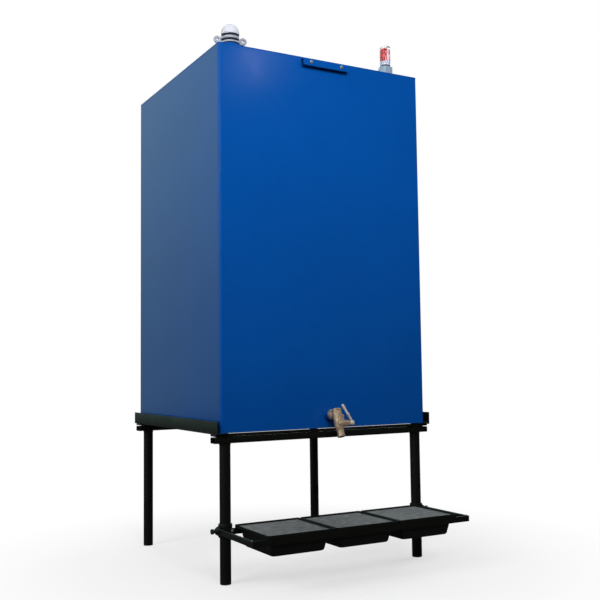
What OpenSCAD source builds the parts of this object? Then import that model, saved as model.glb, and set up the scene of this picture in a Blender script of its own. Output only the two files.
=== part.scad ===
// Gravity feed oil tank on a tubular stand, with a front tap and a sliding can shelf.
// Millimetres, +Z up, front faces -Y, origin on the floor under the middle of the part.

/* [Tank] */
// Width of the tank, left to right
tank_w = 750; // [600:5:900]
// Depth of the tank, front to back
tank_d = 750; // [600:5:900]
// Height of the tank body
tank_h = 1200; // [800:10:1500]
// Thickness of the steel sheet
wall_t = 3; // [2:0.5:5]
// Outer bend radius of the upright front and back edges
bend_r = 8; // [5:0.5:15]

/* [Stand] */
// Height of the tank's underside above the floor
stand_h = 448; // [400:2:600]
// Width of both flanges of the angle side rails
rail_w = 40; // [30:1:60]
// Thickness of the angle side rails
rail_t = 4; // [3:0.5:6]
// Gap between a side rail's upright flange and the tank
rail_gap = 11; // [2:1:15]
// Length of side rail in front of the tank
rail_front = 10; // [5:1:20]
// Length of side rail behind the tank
rail_back = 15; // [5:1:30]
// Depth of the bars that cross under the tank, front to back
cross_w = 40; // [38:1:50]
// Distance of the cross bars from the tank's front and back faces
cross_inset = 3; // [0:1:8]
// Thickness of the flat bar right under the side rails
flat_t = 6; // [4:0.5:8]
// Height of the slot between the flat bar and the cross tube
slot_h = 3; // [2:0.5:5]
// Height of the cross tube
cross_h = 18; // [15:1:30]
// Wall of the cross tube
cross_wall = 2.5; // [2:0.5:4]
// Outside diameter of a leg
leg_d = 33.7; // [30:0.1:35]
// Wall of a leg
leg_wall = 3.2; // [2:0.1:5]
// Distance of a leg's axis from the tank's faces
leg_inset = 24; // [22:1:28]
// Height of the weld flare at the top of a leg
flare_h = 12; // [8:1:20]
// Thickness of the foot cap under a leg
foot_t = 3; // [2:0.5:6]

/* [Shelf] */
// Height of the tray rims above the floor
shelf_z = 177; // [175:1:240]
// Height of the band around a tray
rim_h = 10; // [8:1:14]
// Width of the frame around a grid
rim_w = 4; // [3:0.5:6]
// How far a tray's walls stand inside its rim
tray_lip = 12; // [10:0.5:15]
// Gap between the outer trays and the arms beside them
tray_side = 41; // [10:1:50]
// Depth of one tray
tray_d = 227; // [180:1:260]
// Height of one tray
tray_h = 58; // [40:1:65]
// How far a tray's walls lean in towards its floor
tray_taper = 18; // [5:1:25]
// Sheet thickness of a tray
tray_t = 2; // [1.5:0.5:3]
// Gap between two trays
tray_gap = 5; // [4:1:10]
// Corner radius of a tray's rim
rim_r = 6; // [4:0.5:12]
// Corner radius of a tray's walls
tray_r = 10; // [6:0.5:16]
// Corner radius of a grid
grid_r = 3; // [2:0.5:6]
// Gap between a grid and the rim around it
grid_gap = 5; // [3:0.5:6]
// Height of the frame around a grid
grid_h = 6; // [4:0.5:7]
// Thickness of a strand of the grid
grid_t = 2; // [1.5:0.5:3]
// Length of a diamond of the grid
mesh_long = 34; // [28:1:50]
// Width of a diamond of the grid
mesh_short = 17; // [14:1:30]
// Width of a strand of the grid
grid_strand = 2.6; // [2:0.2:4]
// Thickness of the shelf bars
bar_t = 6; // [5:0.5:8]
// Height of the shelf bars
bar_h = 18; // [14:1:24]
// Height of the collar around a front leg
collar_h = 40; // [30:1:50]
// Wall of the collar
collar_wall = 4; // [3:0.5:6]
// Clearance of the collar around its leg
collar_play = 0.3; // [0.2:0.05:0.5]
// Width of the boss on the collar at its base
boss_d = 38; // [30:1:40]
// Width of the boss at its outer end
boss_end_d = 18; // [14:1:22]
// How far the boss stands out of the collar
boss_l = 11; // [8:0.5:14]
// Diameter of the thumbscrew's knob
knob_d = 16; // [12:1:20]
// Length of the knob
knob_l = 8; // [6:0.5:12]
// Length of screw between boss and knob
neck_l = 6; // [4:0.5:10]
// Diameter of the thumbscrew's shank
shank_d = 8; // [6:1:10]
// Clearance around the screw's shank
shank_play = 0.1; // [0.05:0.05:0.3]

/* [Tap] */
// Height of the outlet above the tank's underside
outlet_z = 44; // [40:1:80]
// Diameter of the welded outlet socket
socket_d = 36; // [30:1:45]
// Length of the welded outlet socket
socket_l = 18; // [12:1:30]
// Width across flats of the tap's inlet hexagon
inlet_af = 30; // [24:1:36]
// Distance of the tap's axis from the tank
tap_reach = 62; // [60:1:80]
// Diameter of the tap's body
tap_d = 30; // [26:1:34]
// Height of the tap's top above the outlet
tap_up = 17; // [17:1:25]
// Distance from the outlet down to the spout's end
tap_down = 68; // [50:1:80]
// Bore of the tap
tap_bore = 15; // [10:1:18]
// Depth of the lever's axis below the outlet
stem_drop = 27; // [24:1:34]
// Diameter of the lever's stem
stem_d = 12; // [8:1:14]
// How far the lever's axis lies in front of the tap's axis
stem_out = 10; // [8:0.5:12]
// Lean of the tap's body back towards the tank, in degrees
tap_lean = 20; // [0:1:22]
// Left end of the cross barrel, from the tap's axis
barrel_l = 9; // [6:1:18]
// Right end of the cross barrel, from the tap's axis
boss_x = 30; // [24:1:34]
// Distance of the lever's hub from the tap's axis
lever_x = 44; // [43:1:60]
// Length of the lever from its axis
lever_l = 67; // [55:1:80]
// How far the lever leans towards the tap over 60 mm of its length
lever_lean = 23; // [0:1:24]

/* [Roof fittings] */
// Distance of the vent from the tank's left face
vent_x = 78; // [60:1:150]
// Distance of the vent from the tank's front face
vent_y = 85; // [60:1:150]
// Diameter of the vent's body
vent_d = 59; // [50:1:75]
// Height of the welded socket under the vent
vent_socket_h = 29; // [20:1:40]
// Height of the gasket under the vent's lower ring
low_gasket_h = 3; // [2:0.5:6]
// Height of the vent's two upper gaskets
gasket_h = 7.5; // [4:0.5:9]
// Height of the vent's lower ring
low_ring_h = 6; // [4:0.5:10]
// Height of the vent's upper ring
high_ring_h = 8; // [4:0.5:10]
// Height of the vent's dome
dome_h = 36; // [30:1:36]
// Span of the vent's two ears
ear_span = 108; // [100:1:120]
// Distance of the gauge from the tank's right face
gauge_x = 74; // [60:1:150]
// Distance of the gauge from the tank's front face
gauge_y = 82; // [60:1:150]
// Diameter of the gauge's clear tube
vial_d = 37; // [30:1:45]
// Height of the gauge's clear tube
vial_h = 68; // [45:1:80]
// Height of the welded socket under the gauge
gauge_socket_h = 20; // [15:1:40]
// Height of the gauge's hexagon
hex_h = 28; // [20:1:45]
// Height of the collar over the hexagon
gauge_collar_h = 4; // [3:0.5:10]
// Height of the dark seal under the clear tube
seal_h = 4; // [2:0.5:6]
// Height of the pale scale band
band_h = 15; // [12:1:20]
// Width across flats of the gauge's hexagon
hex_af = 48; // [42:1:55]
// Length of the bracket at the top of the front
bracket_w = 170; // [120:5:250]
// Height of the bracket
bracket_h = 24; // [15:1:30]
// How far the bracket stands out
bracket_d = 20; // [10:1:30]
// Distance between the bracket's two bolts
bolt_gap = 114; // [80:1:140]

/* [Hidden] */
$fn = 48;
seat = 0.3;
weld_w = 4;
spigot_t = 4;
side_x = tank_w / 2;
frame_x = side_x + rail_gap + rail_t;
collar_r = leg_d / 2 + collar_play + collar_wall;
bar_z = shelf_z - rim_h - bar_h;
shelf_reach = tray_d - leg_inset + collar_r + seat;
part_d = shelf_reach + tank_d + rail_back;
front_y = shelf_reach - part_d / 2;
back_y = front_y + tank_d;
roof_z = stand_h + tank_h;
flat_z = stand_h - rail_t - flat_t;
cross_z = flat_z - slot_h - cross_h;
leg_x = side_x - leg_inset;
leg_fy = front_y + leg_inset;
leg_by = back_y - leg_inset;
leg_r = leg_d / 2;
leg_ir = leg_r - leg_wall;
rear_bar_y = leg_fy - collar_r - bar_t - seat;
tray_back = rear_bar_y + bar_t;
tray_front = tray_back - tray_d;
front_bar_y = tray_front + 1;
collar_z = bar_z - (collar_h - bar_h) / 2;
screw_z = collar_z + collar_h / 2;
arm_x = leg_x + collar_r;
tray_w = (2 * arm_x - 2 * tray_side - 2 * tray_gap) / 3;
tray_slope = tray_taper / (tray_h - rim_h);
tap_y = front_y - tap_reach;
stem_y = tap_y - stem_out;
tap_top = (stem_drop + tap_up) / cos(tap_lean);
tap_bottom = (tap_down - stem_drop) / cos(tap_lean);
tap_cross = stem_drop / cos(tap_lean);
out_z = stand_h + outlet_z;
stem_z = out_z - stem_drop;
spout_z = out_z - tap_down;
vent_px = -side_x + vent_x;
vent_py = front_y + vent_y;
gauge_px = side_x - gauge_x;
gauge_py = front_y + gauge_y;
bracket_z = roof_z - 8 - bracket_h;
vent_r = vent_d / 2;
vent_bore = vent_r - 12;
low_ring_z = roof_z + vent_socket_h + low_gasket_h;
high_ring_z = low_ring_z + low_ring_h + gasket_h;
dome_z = high_ring_z + high_ring_h + gasket_h;
ear_z = low_ring_z + 12;
vial_r = vial_d / 2;
gauge_bore = vial_r - 9;
gauge_collar_z = roof_z + gauge_socket_h + hex_h;
vial_z = gauge_collar_z + gauge_collar_h + seal_h;

// quarter of a bent edge, around its own upright axis
module edge_bend(h) {
  difference() {
    intersection() {
      cylinder(h = h, r = bend_r);
      translate([-bend_r, -bend_r, 0]) cube([bend_r, bend_r, h]);
    }
    translate([0, 0, -1]) cylinder(h = h + 2, r = bend_r - wall_t);
  }
}

// front panel with both upright edges folded back, face on y = 0
module folded_panel() {
  h = tank_h - 2 * wall_t;
  translate([-side_x + bend_r, 0, 0]) cube([tank_w - 2 * bend_r, wall_t, h]);
  translate([-side_x + bend_r, bend_r, 0]) edge_bend(h);
  mirror([1, 0, 0]) translate([-side_x + bend_r, bend_r, 0]) edge_bend(h);
}

// flat plate with the tank's rounded plan
module plan_plate(z) {
  translate([-side_x + bend_r, front_y, z]) cube([tank_w - 2 * bend_r, tank_d, wall_t]);
  translate([-side_x, front_y + bend_r, z]) cube([tank_w, tank_d - 2 * bend_r, wall_t]);
  for (x = [-side_x + bend_r, side_x - bend_r])
    for (y = [front_y + bend_r, back_y - bend_r])
      translate([x, y, z]) cylinder(h = wall_t, r = bend_r);
}

module tank_front_wall() {
  color([0.02, 0.2, 0.6])
    difference() {
      translate([0, front_y, stand_h + wall_t]) folded_panel();
      translate([0, front_y - 1, out_z])
        rotate([-90, 0, 0]) cylinder(h = wall_t + 2, r = tap_bore / 2 + spigot_t);
    }
}

module tank_back_wall() {
  color([0.02, 0.2, 0.6])
    translate([0, back_y, stand_h + wall_t]) rotate([0, 0, 180]) folded_panel();
}

module tank_left_wall() {
  color([0.02, 0.2, 0.6])
    translate([-side_x, front_y + bend_r, stand_h + wall_t])
      cube([wall_t, tank_d - 2 * bend_r, tank_h - 2 * wall_t]);
}

module tank_right_wall() {
  color([0.02, 0.2, 0.6])
    translate([side_x - wall_t, front_y + bend_r, stand_h + wall_t])
      cube([wall_t, tank_d - 2 * bend_r, tank_h - 2 * wall_t]);
}

module tank_roof() {
  color([0.02, 0.2, 0.6])
    difference() {
      plan_plate(roof_z - wall_t);
      translate([vent_px, vent_py, roof_z - wall_t - 1]) cylinder(h = wall_t + 2, r = vent_bore + spigot_t);
      translate([gauge_px, gauge_py, roof_z - wall_t - 1])
        cylinder(h = wall_t + 2, r = gauge_bore + spigot_t);
    }
}

module tank_floor() {
  color([0.02, 0.2, 0.6]) plan_plate(stand_h);
}

module top_bracket() {
  color([0.02, 0.2, 0.6])
    difference() {
      translate([-bracket_w / 2, front_y - bracket_d, bracket_z])
        cube([bracket_w, bracket_d, bracket_h]);
      translate([-bracket_w / 2 - 1, front_y - bracket_d + wall_t, bracket_z - 1])
        cube([bracket_w + 2, bracket_d - wall_t + 1, bracket_h - wall_t + 1]);
      for (x = [-bolt_gap / 2, bolt_gap / 2])
        translate([x, front_y - bracket_d - 1, bracket_z + bracket_h / 2])
          rotate([-90, 0, 0]) cylinder(h = wall_t + 2, r = 3.2);
    }
}

module bracket_bolts() {
  color([0.75, 0.76, 0.78])
    for (x = [-bolt_gap / 2, bolt_gap / 2])
      translate([x, front_y - bracket_d, bracket_z + bracket_h / 2])
        rotate([90, 0, 0]) {
          cylinder(h = 3, r = 6);
          translate([0, 0, 3]) cylinder(h = 2.5, r1 = 6, r2 = 3);
          translate([0, 0, -wall_t - 4]) cylinder(h = wall_t + 4, r = 3);
        }
}

// socket welded over a hole, its spigot reaching back through the sheet
module socket(l, r, bore) {
  difference() {
    union() {
      cylinder(h = l, r = r);
      cylinder(h = weld_w, r1 = r + weld_w, r2 = r);
      translate([0, 0, -wall_t]) cylinder(h = wall_t + 1, r = bore + spigot_t);
    }
    translate([0, 0, -wall_t - 1]) cylinder(h = l + wall_t + 2, r = bore);
  }
}

module welded_sockets() {
  color([0.02, 0.25, 0.7]) {
    translate([0, front_y, out_z]) rotate([90, 0, 0]) socket(socket_l, socket_d / 2, tap_bore / 2);
    translate([vent_px, vent_py, roof_z]) socket(vent_socket_h, vent_r, vent_bore);
    translate([gauge_px, gauge_py, roof_z]) socket(gauge_socket_h, hex_af / 2 + 2, gauge_bore);
  }
}

// leaning round body of the tap, its origin on its axis at the lever's height
module tap_trunk(gap) {
  r = tap_d / 2 + gap;
  rotate([-tap_lean, 0, 0]) {
    translate([0, 0, -12]) cylinder(h = tap_top + 10, r = r);
    translate([0, 0, tap_top - 5.5]) cylinder(h = 3.5, r = r + 1);
    translate([0, 0, tap_top - 2]) cylinder(h = 2, r1 = r + 1, r2 = r - 1);
    translate([0, 0, -24]) cylinder(h = 12, r1 = r - 4, r2 = r);
    translate([0, 0, -tap_bottom]) cylinder(h = tap_bottom, r = r - 4);
    translate([0, 0, -tap_bottom]) cylinder(h = 7, r = r - 2.5);
  }
}

module tap_inlet() {
  color([0.8, 0.65, 0.45])
    difference() {
      translate([0, front_y - socket_l, out_z])
        rotate([90, 0, 0])
          difference() {
            union() {
              cylinder(h = 14, r = inlet_af / 2 / cos(30), $fn = 6);
              cylinder(h = tap_reach - socket_l, r = 11);
            }
            translate([0, 0, -1]) cylinder(h = tap_reach, r = tap_bore / 2);
          }
      translate([0, tap_y, stem_z]) tap_trunk(seat);
    }
}

module tap_body() {
  color([0.8, 0.65, 0.45])
    translate([0, tap_y, stem_z])
      difference() {
        union() {
          tap_trunk(0);
          translate([0, -stem_out, 0]) {
            translate([-barrel_l + 2, 0, 0]) rotate([0, 90, 0]) cylinder(h = barrel_l + boss_x - 2, r = 10);
            translate([-barrel_l, 0, 0]) rotate([0, 90, 0]) cylinder(h = 2, r1 = 8, r2 = 10);
            rotate([-tap_lean, 0, 0]) translate([tap_d / 2 - 5, -2, 0]) cube([6, 4, 30]);
          }
        }
        rotate([-tap_lean, 0, 0])
          translate([0, 0, -tap_bottom - 1])
            cylinder(h = tap_bottom + tap_cross + 8, r = tap_bore / 2);
        translate([0, stem_drop * tan(tap_lean), stem_drop])
          rotate([-90, 0, 0]) cylinder(h = tap_d, r = tap_bore / 2 - 1.5);
        translate([0, -stem_out, 0])
          rotate([-tap_lean, 0, 0])
            translate([tap_d / 2 - 6, 0, 25]) rotate([0, 90, 0]) cylinder(h = 12, r = 1.6);
        translate([6, -stem_out, 0]) rotate([0, 90, 0]) cylinder(h = boss_x, r = stem_d / 2 + 0.05);
      }
}

module tap_lever() {
  lean = atan(lever_lean / 60);
  color([0.85, 0.82, 0.75])
    translate([0, stem_y, stem_z]) {
      translate([8, 0, 0]) rotate([0, 90, 0]) cylinder(h = lever_x - 8, r = stem_d / 2);
      translate([lever_x - 4, 0, 0]) rotate([0, 90, 0]) cylinder(h = 7, r = 8.5);
      translate([lever_x + 3, 0, 0]) rotate([0, 90, 0]) cylinder(h = 3, r1 = 6, r2 = 4);
      translate([lever_x, 0, 0])
        rotate([-tap_lean, 0, 0])
          rotate([0, -lean, 0])
            difference() {
              union() {
                translate([-2.5, -5, 0]) cube([5, 10, 30]);
                translate([-2.5, 0, 30]) rotate([0, 90, 0]) cylinder(h = 5, r = 7);
                translate([0, 0, 33]) cylinder(h = lever_l - 38, r1 = 3.4, r2 = 4.8);
                translate([0, 0, lever_l - 4.8]) sphere(r = 4.8);
              }
              translate([-4, 0, 30]) rotate([0, 90, 0]) cylinder(h = 8, r = 3);
            }
    }
}

// flat ring with its bottom at z = 0
module ring(h, r, bore) {
  difference() {
    cylinder(h = h, r = r);
    translate([0, 0, -1]) cylinder(h = h + 2, r = bore);
  }
}

module fitting_gaskets() {
  color([0.05, 0.05, 0.06]) {
    translate([vent_px, vent_py, roof_z + vent_socket_h]) ring(low_gasket_h, vent_r - 2, vent_bore);
    for (z = [low_ring_z + low_ring_h, high_ring_z + high_ring_h])
      translate([vent_px, vent_py, z]) ring(gasket_h, vent_r - 2, vent_bore);
    translate([gauge_px, gauge_py, vial_z - seal_h]) ring(seal_h, vial_r - 1, gauge_bore);
  }
}

module vent_rings() {
  color([0.82, 0.84, 0.88])
    translate([vent_px, vent_py, 0]) {
      translate([0, 0, low_ring_z]) ring(low_ring_h, vent_r + 1, vent_bore);
      translate([0, 0, high_ring_z]) ring(high_ring_h, vent_r, vent_bore);
    }
}

module vent_ears() {
  color([0.8, 0.82, 0.86])
    translate([vent_px, vent_py, ear_z])
      rotate([0, 0, -12])
        for (s = [-1, 1])
          difference() {
            union() {
              translate([s * (ear_span / 2 - 12), 4, 0]) rotate([90, 0, 0]) cylinder(h = 8, r = 12);
              translate([s * (ear_span / 2 - 21) - 8, -4, -12]) cube([16, 8, 20]);
            }
            translate([s * (ear_span / 2 - 12), 5, 0]) rotate([90, 0, 0]) cylinder(h = 10, r = 4);
            translate([0, 0, -40]) cylinder(h = 80, r = vent_r + 1 + seat);
          }
}

module vent_dome() {
  lip = 6;
  rise = dome_h - lip;
  base_r = vent_r;
  ball_r = (base_r * base_r + rise * rise) / (2 * rise);
  color([0.92, 0.92, 0.97])
    translate([vent_px, vent_py, dome_z])
      difference() {
        union() {
          cylinder(h = lip, r = base_r);
          translate([0, 0, lip])
            intersection() {
              translate([0, 0, rise - ball_r]) sphere(r = ball_r);
              translate([-50, -50, 0]) cube([100, 100, 60]);
            }
        }
        translate([0, 0, -1]) cylinder(h = lip + 1, r = base_r - 4);
        translate([0, 0, lip])
          intersection() {
            translate([0, 0, rise - ball_r]) sphere(r = ball_r - 3);
            translate([-50, -50, -1]) cube([100, 100, 60]);
          }
      }
}

module gauge_base() {
  color([0.55, 0.65, 0.75])
    translate([gauge_px, gauge_py, roof_z + gauge_socket_h])
      difference() {
        union() {
          cylinder(h = hex_h, r = hex_af / 2 / cos(30), $fn = 6);
          cylinder(h = hex_h + gauge_collar_h, r = vial_r);
        }
        translate([0, 0, -1]) cylinder(h = hex_h + gauge_collar_h + 2, r = gauge_bore);
      }
}

module gauge_scale() {
  color([0.82, 0.85, 0.92])
    translate([gauge_px, gauge_py, vial_z]) ring(band_h, vial_r - 3, gauge_bore);
}

module gauge_float() {
  color([0.85, 0.2, 0.2])
    translate([gauge_px, gauge_py, vial_z + band_h]) cylinder(h = vial_h - band_h - 8, r = vial_r - 5);
}

module gauge_vial() {
  color([0.9, 0.93, 0.95, 0.35])
    translate([gauge_px, gauge_py, vial_z])
      difference() {
        union() {
          cylinder(h = vial_h, r = vial_r);
          cylinder(h = vial_h + 4, r = 5);
        }
        translate([0, 0, -1]) cylinder(h = vial_h - 1.5, r = vial_r - 3);
      }
}

module side_rail() {
  translate([0, front_y - rail_front, stand_h - rail_t]) {
    cube([rail_w, tank_d + rail_front + rail_back, rail_t]);
    cube([rail_t, tank_d + rail_front + rail_back, rail_w]);
  }
}

module left_side_rail() {
  color([0.1, 0.11, 0.09]) translate([-frame_x, 0, 0]) side_rail();
}

module right_side_rail() {
  color([0.1, 0.11, 0.09]) mirror([1, 0, 0]) translate([-frame_x, 0, 0]) side_rail();
}

// flat bar with its two spacer pads, at y = 0
module flat_bar() {
  translate([-frame_x, 0, flat_z]) cube([2 * frame_x, cross_w, flat_t]);
  for (x = [-leg_x, leg_x])
    translate([x - cross_w / 2, 0, flat_z - slot_h]) cube([cross_w, cross_w, slot_h]);
}

module front_flat_bar() {
  color([0.1, 0.11, 0.09]) translate([0, front_y + cross_inset, 0]) flat_bar();
}

module back_flat_bar() {
  color([0.1, 0.11, 0.09]) translate([0, back_y - cross_inset - cross_w, 0]) flat_bar();
}

// hollow tube across the part, at y = 0
module cross_tube() {
  translate([-frame_x, 0, cross_z])
    difference() {
      cube([2 * frame_x, cross_w, cross_h]);
      translate([-1, cross_wall, cross_wall])
        cube([2 * frame_x + 2, cross_w - 2 * cross_wall, cross_h - 2 * cross_wall]);
    }
}

module front_cross_tube() {
  color([0.1, 0.11, 0.09]) translate([0, front_y + cross_inset, 0]) cross_tube();
}

module back_cross_tube() {
  color([0.1, 0.11, 0.09]) translate([0, back_y - cross_inset - cross_w, 0]) cross_tube();
}

// leg tube around its own axis
module leg() {
  difference() {
    union() {
      translate([0, 0, foot_t]) cylinder(h = cross_z - foot_t, r = leg_r);
      translate([0, 0, cross_z - flare_h]) cylinder(h = flare_h, r1 = leg_r, r2 = cross_w / 2 - 1);
    }
    translate([0, 0, -1]) cylinder(h = cross_z + 2, r = leg_ir);
  }
}

module leg_front_left() {
  color([0.1, 0.11, 0.09]) translate([-leg_x, leg_fy, 0]) leg();
}

module leg_front_right() {
  color([0.1, 0.11, 0.09]) translate([leg_x, leg_fy, 0]) leg();
}

module leg_back_left() {
  color([0.1, 0.11, 0.09]) translate([-leg_x, leg_by, 0]) leg();
}

module leg_back_right() {
  color([0.1, 0.11, 0.09]) translate([leg_x, leg_by, 0]) leg();
}

module leg_feet() {
  color([0.08, 0.08, 0.08])
    for (x = [-leg_x, leg_x])
      for (y = [leg_fy, leg_by])
        translate([x, y, 0]) {
          cylinder(h = foot_t, r = leg_r);
          cylinder(h = foot_t + 12, r = leg_ir - 0.1);
        }
}

// arm at the outer side of the right leg, cut to fit the collar's boss
module shelf_arm() {
  difference() {
    translate([arm_x, front_bar_y, bar_z]) cube([bar_t, leg_fy - front_bar_y, bar_h]);
    translate([leg_x, leg_fy, screw_z]) collar_boss(seat);
  }
}

module shelf_left_arm() {
  color([0.1, 0.11, 0.09]) mirror([1, 0, 0]) shelf_arm();
}

module shelf_right_arm() {
  color([0.1, 0.11, 0.09]) shelf_arm();
}

module shelf_front_bar() {
  color([0.1, 0.11, 0.09]) translate([-arm_x, front_bar_y, bar_z]) cube([2 * arm_x, bar_t, bar_h]);
}

module shelf_back_bar() {
  color([0.1, 0.11, 0.09]) translate([-leg_x, rear_bar_y, bar_z]) cube([2 * leg_x, bar_t, bar_h]);
}

// cone that widens the collar around the screw, pointing to +X
module collar_boss(gap) {
  translate([collar_r - collar_wall, 0, 0])
    rotate([0, 90, 0])
      cylinder(h = collar_wall + boss_l + gap, r1 = boss_d / 2 + gap, r2 = boss_end_d / 2 + gap);
}

// collar around the right leg
module collar() {
  difference() {
    union() {
      cylinder(h = collar_h, r = collar_r);
      translate([0, 0, collar_h / 2]) collar_boss(0);
    }
    translate([0, 0, -1]) cylinder(h = collar_h + 2, r = leg_r + collar_play);
    translate([0, 0, collar_h / 2]) rotate([0, 90, 0]) cylinder(h = 60, r = shank_d / 2 + shank_play);
  }
}

module left_collar() {
  color([0.1, 0.11, 0.09]) translate([-leg_x, leg_fy, collar_z]) mirror([1, 0, 0]) collar();
}

module right_collar() {
  color([0.1, 0.11, 0.09]) translate([leg_x, leg_fy, collar_z]) collar();
}

// thumbscrew pointing to +X, its tip just off the leg
module thumbscrew() {
  knob_x = collar_r + boss_l + neck_l;
  rotate([0, 90, 0]) {
    translate([0, 0, leg_r + seat]) cylinder(h = knob_x - leg_r, r = shank_d / 2);
    difference() {
      union() {
        translate([0, 0, knob_x]) cylinder(h = knob_l - 2, r = knob_d / 2);
        translate([0, 0, knob_x + knob_l - 2]) cylinder(h = 2, r1 = knob_d / 2, r2 = knob_d / 2 - 2);
      }
      for (k = [0 : 7])
        rotate(k * 45) translate([knob_d / 2 + 0.8, 0, knob_x - 1]) cylinder(h = knob_l + 2, r = 2);
    }
  }
}

module left_thumbscrew() {
  color([0.1, 0.1, 0.1]) translate([-leg_x, leg_fy, screw_z]) mirror([1, 0, 0]) thumbscrew();
}

module right_thumbscrew() {
  color([0.1, 0.1, 0.1]) translate([leg_x, leg_fy, screw_z]) thumbscrew();
}

// block with rounded upright edges, bottom at z = 0, centred
module round_block(w, d, r, h) {
  translate([-w / 2 + r, -d / 2, 0]) cube([w - 2 * r, d, h]);
  translate([-w / 2, -d / 2 + r, 0]) cube([w, d - 2 * r, h]);
  for (x = [-w / 2 + r, w / 2 - r])
    for (y = [-d / 2 + r, d / 2 - r])
      translate([x, y, 0]) cylinder(h = h, r = r);
}

// block with rounded corners whose walls lean out with height, w and d wide at its bottom
module lean_block(w, d, r, h) {
  lean = tray_slope * h;
  hull()
    for (x = [-1, 1])
      for (y = [-1, 1])
        translate([x * (w / 2 - r), y * (d / 2 - r), 0]) {
          cylinder(h = 0.1, r = r, $fn = 24);
          translate([x * lean, y * lean, h - 0.1]) cylinder(h = 0.1, r = r, $fn = 24);
        }
}

// outline of a tray's rim, moved in by a step
module rim_outline(step) {
  offset(r = rim_r - step, $fn = 32) square([tray_w - 2 * rim_r, tray_d - 2 * rim_r], center = true);
}

// pressed tray with a flange and an upright rim, bottom at z = 0, centred
module tray() {
  w = tray_w - 2 * (tray_lip + tray_taper);
  d = tray_d - 2 * (tray_lip + tray_taper);
  h = tray_h - rim_h;
  difference() {
    union() {
      lean_block(w, d, tray_r, h + tray_t / 2);
      translate([0, 0, h]) linear_extrude(height = rim_h) rim_outline(0);
    }
    translate([0, 0, tray_t]) lean_block(w - 2 * tray_t, d - 2 * tray_t, tray_r - tray_t, h + 1);
    translate([0, 0, h + tray_t]) linear_extrude(height = rim_h) rim_outline(tray_t);
  }
}

module tray_left() {
  color([0.07, 0.08, 0.07])
    translate([-tray_w - tray_gap, tray_front + tray_d / 2, shelf_z - tray_h]) tray();
}

module tray_middle() {
  color([0.07, 0.08, 0.07])
    translate([0, tray_front + tray_d / 2, shelf_z - tray_h]) tray();
}

module tray_right() {
  color([0.07, 0.08, 0.07])
    translate([tray_w + tray_gap, tray_front + tray_d / 2, shelf_z - tray_h]) tray();
}

// slanted strand of expanded mesh through a point, as a flat outline
module strand(x, angle, l) {
  translate([x, 0]) rotate(angle) square([grid_strand, l], center = true);
}

// expanded mesh in an upright frame, bottom at z = 0, centred
module grid() {
  w = tray_w - 2 * tray_t - 2 * grid_gap;
  d = tray_d - 2 * tray_t - 2 * grid_gap;
  slant = atan(mesh_short / mesh_long);
  count = ceil((w + d * tan(slant)) / 2 / mesh_short);
  difference() {
    round_block(w, d, grid_r, grid_h);
    translate([-w / 2 + rim_w, -d / 2 + rim_w, -1]) cube([w - 2 * rim_w, d - 2 * rim_w, grid_h + 2]);
  }
  translate([0, 0, grid_h - grid_t - 1])
    linear_extrude(height = grid_t)
      intersection() {
        square([w - 2 * rim_w + 2, d - 2 * rim_w + 2], center = true);
        union()
          for (k = [-count : count]) {
            strand((k + 0.5) * mesh_short, slant, 2 * d);
            strand((k + 0.5) * mesh_short, -slant, 2 * d);
          }
      }
}

module grid_left() {
  color([0.33, 0.35, 0.36])
    translate([-tray_w - tray_gap, tray_front + tray_d / 2, shelf_z - rim_h + tray_t]) grid();
}

module grid_middle() {
  color([0.33, 0.35, 0.36])
    translate([0, tray_front + tray_d / 2, shelf_z - rim_h + tray_t]) grid();
}

module grid_right() {
  color([0.33, 0.35, 0.36])
    translate([tray_w + tray_gap, tray_front + tray_d / 2, shelf_z - rim_h + tray_t]) grid();
}

tank_front_wall();
tank_back_wall();
tank_left_wall();
tank_right_wall();
tank_roof();
tank_floor();
top_bracket();
bracket_bolts();
welded_sockets();
tap_inlet();
tap_body();
tap_lever();
fitting_gaskets();
vent_rings();
vent_ears();
vent_dome();
gauge_base();
gauge_scale();
gauge_float();
gauge_vial();
left_side_rail();
right_side_rail();
front_flat_bar();
back_flat_bar();
front_cross_tube();
back_cross_tube();
leg_front_left();
leg_front_right();
leg_back_left();
leg_back_right();
leg_feet();
shelf_left_arm();
shelf_right_arm();
shelf_front_bar();
shelf_back_bar();
left_collar();
right_collar();
left_thumbscrew();
right_thumbscrew();
tray_left();
tray_middle();
tray_right();
grid_left();
grid_middle();
grid_right();
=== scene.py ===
import math

import bpy
import numpy as np
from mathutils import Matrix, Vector


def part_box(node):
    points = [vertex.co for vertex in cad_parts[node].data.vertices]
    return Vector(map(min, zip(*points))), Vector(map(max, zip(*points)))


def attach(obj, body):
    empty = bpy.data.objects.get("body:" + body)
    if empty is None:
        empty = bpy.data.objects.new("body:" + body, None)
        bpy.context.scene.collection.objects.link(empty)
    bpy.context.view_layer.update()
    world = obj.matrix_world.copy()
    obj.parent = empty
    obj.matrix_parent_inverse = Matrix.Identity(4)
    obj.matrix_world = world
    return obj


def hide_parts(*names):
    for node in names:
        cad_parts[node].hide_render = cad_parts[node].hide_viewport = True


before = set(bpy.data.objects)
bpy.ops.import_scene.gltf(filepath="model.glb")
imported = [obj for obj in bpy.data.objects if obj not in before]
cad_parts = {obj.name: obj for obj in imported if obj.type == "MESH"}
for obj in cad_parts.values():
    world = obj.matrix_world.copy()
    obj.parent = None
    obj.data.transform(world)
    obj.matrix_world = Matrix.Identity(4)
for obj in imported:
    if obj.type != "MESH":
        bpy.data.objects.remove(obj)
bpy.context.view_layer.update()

mm = 0.001
full = 2 * math.pi


def corners(nodeName):
    low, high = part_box(nodeName)
    return np.array(low), np.array(high)


def nodeCentre(nodeName):
    low, high = corners(nodeName)
    return (low + high) / 2


def midPlan(low, high, height):
    # point over the middle of a box's plan
    return [(low[0] + high[0]) / 2, (low[1] + high[1]) / 2, height]


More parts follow.
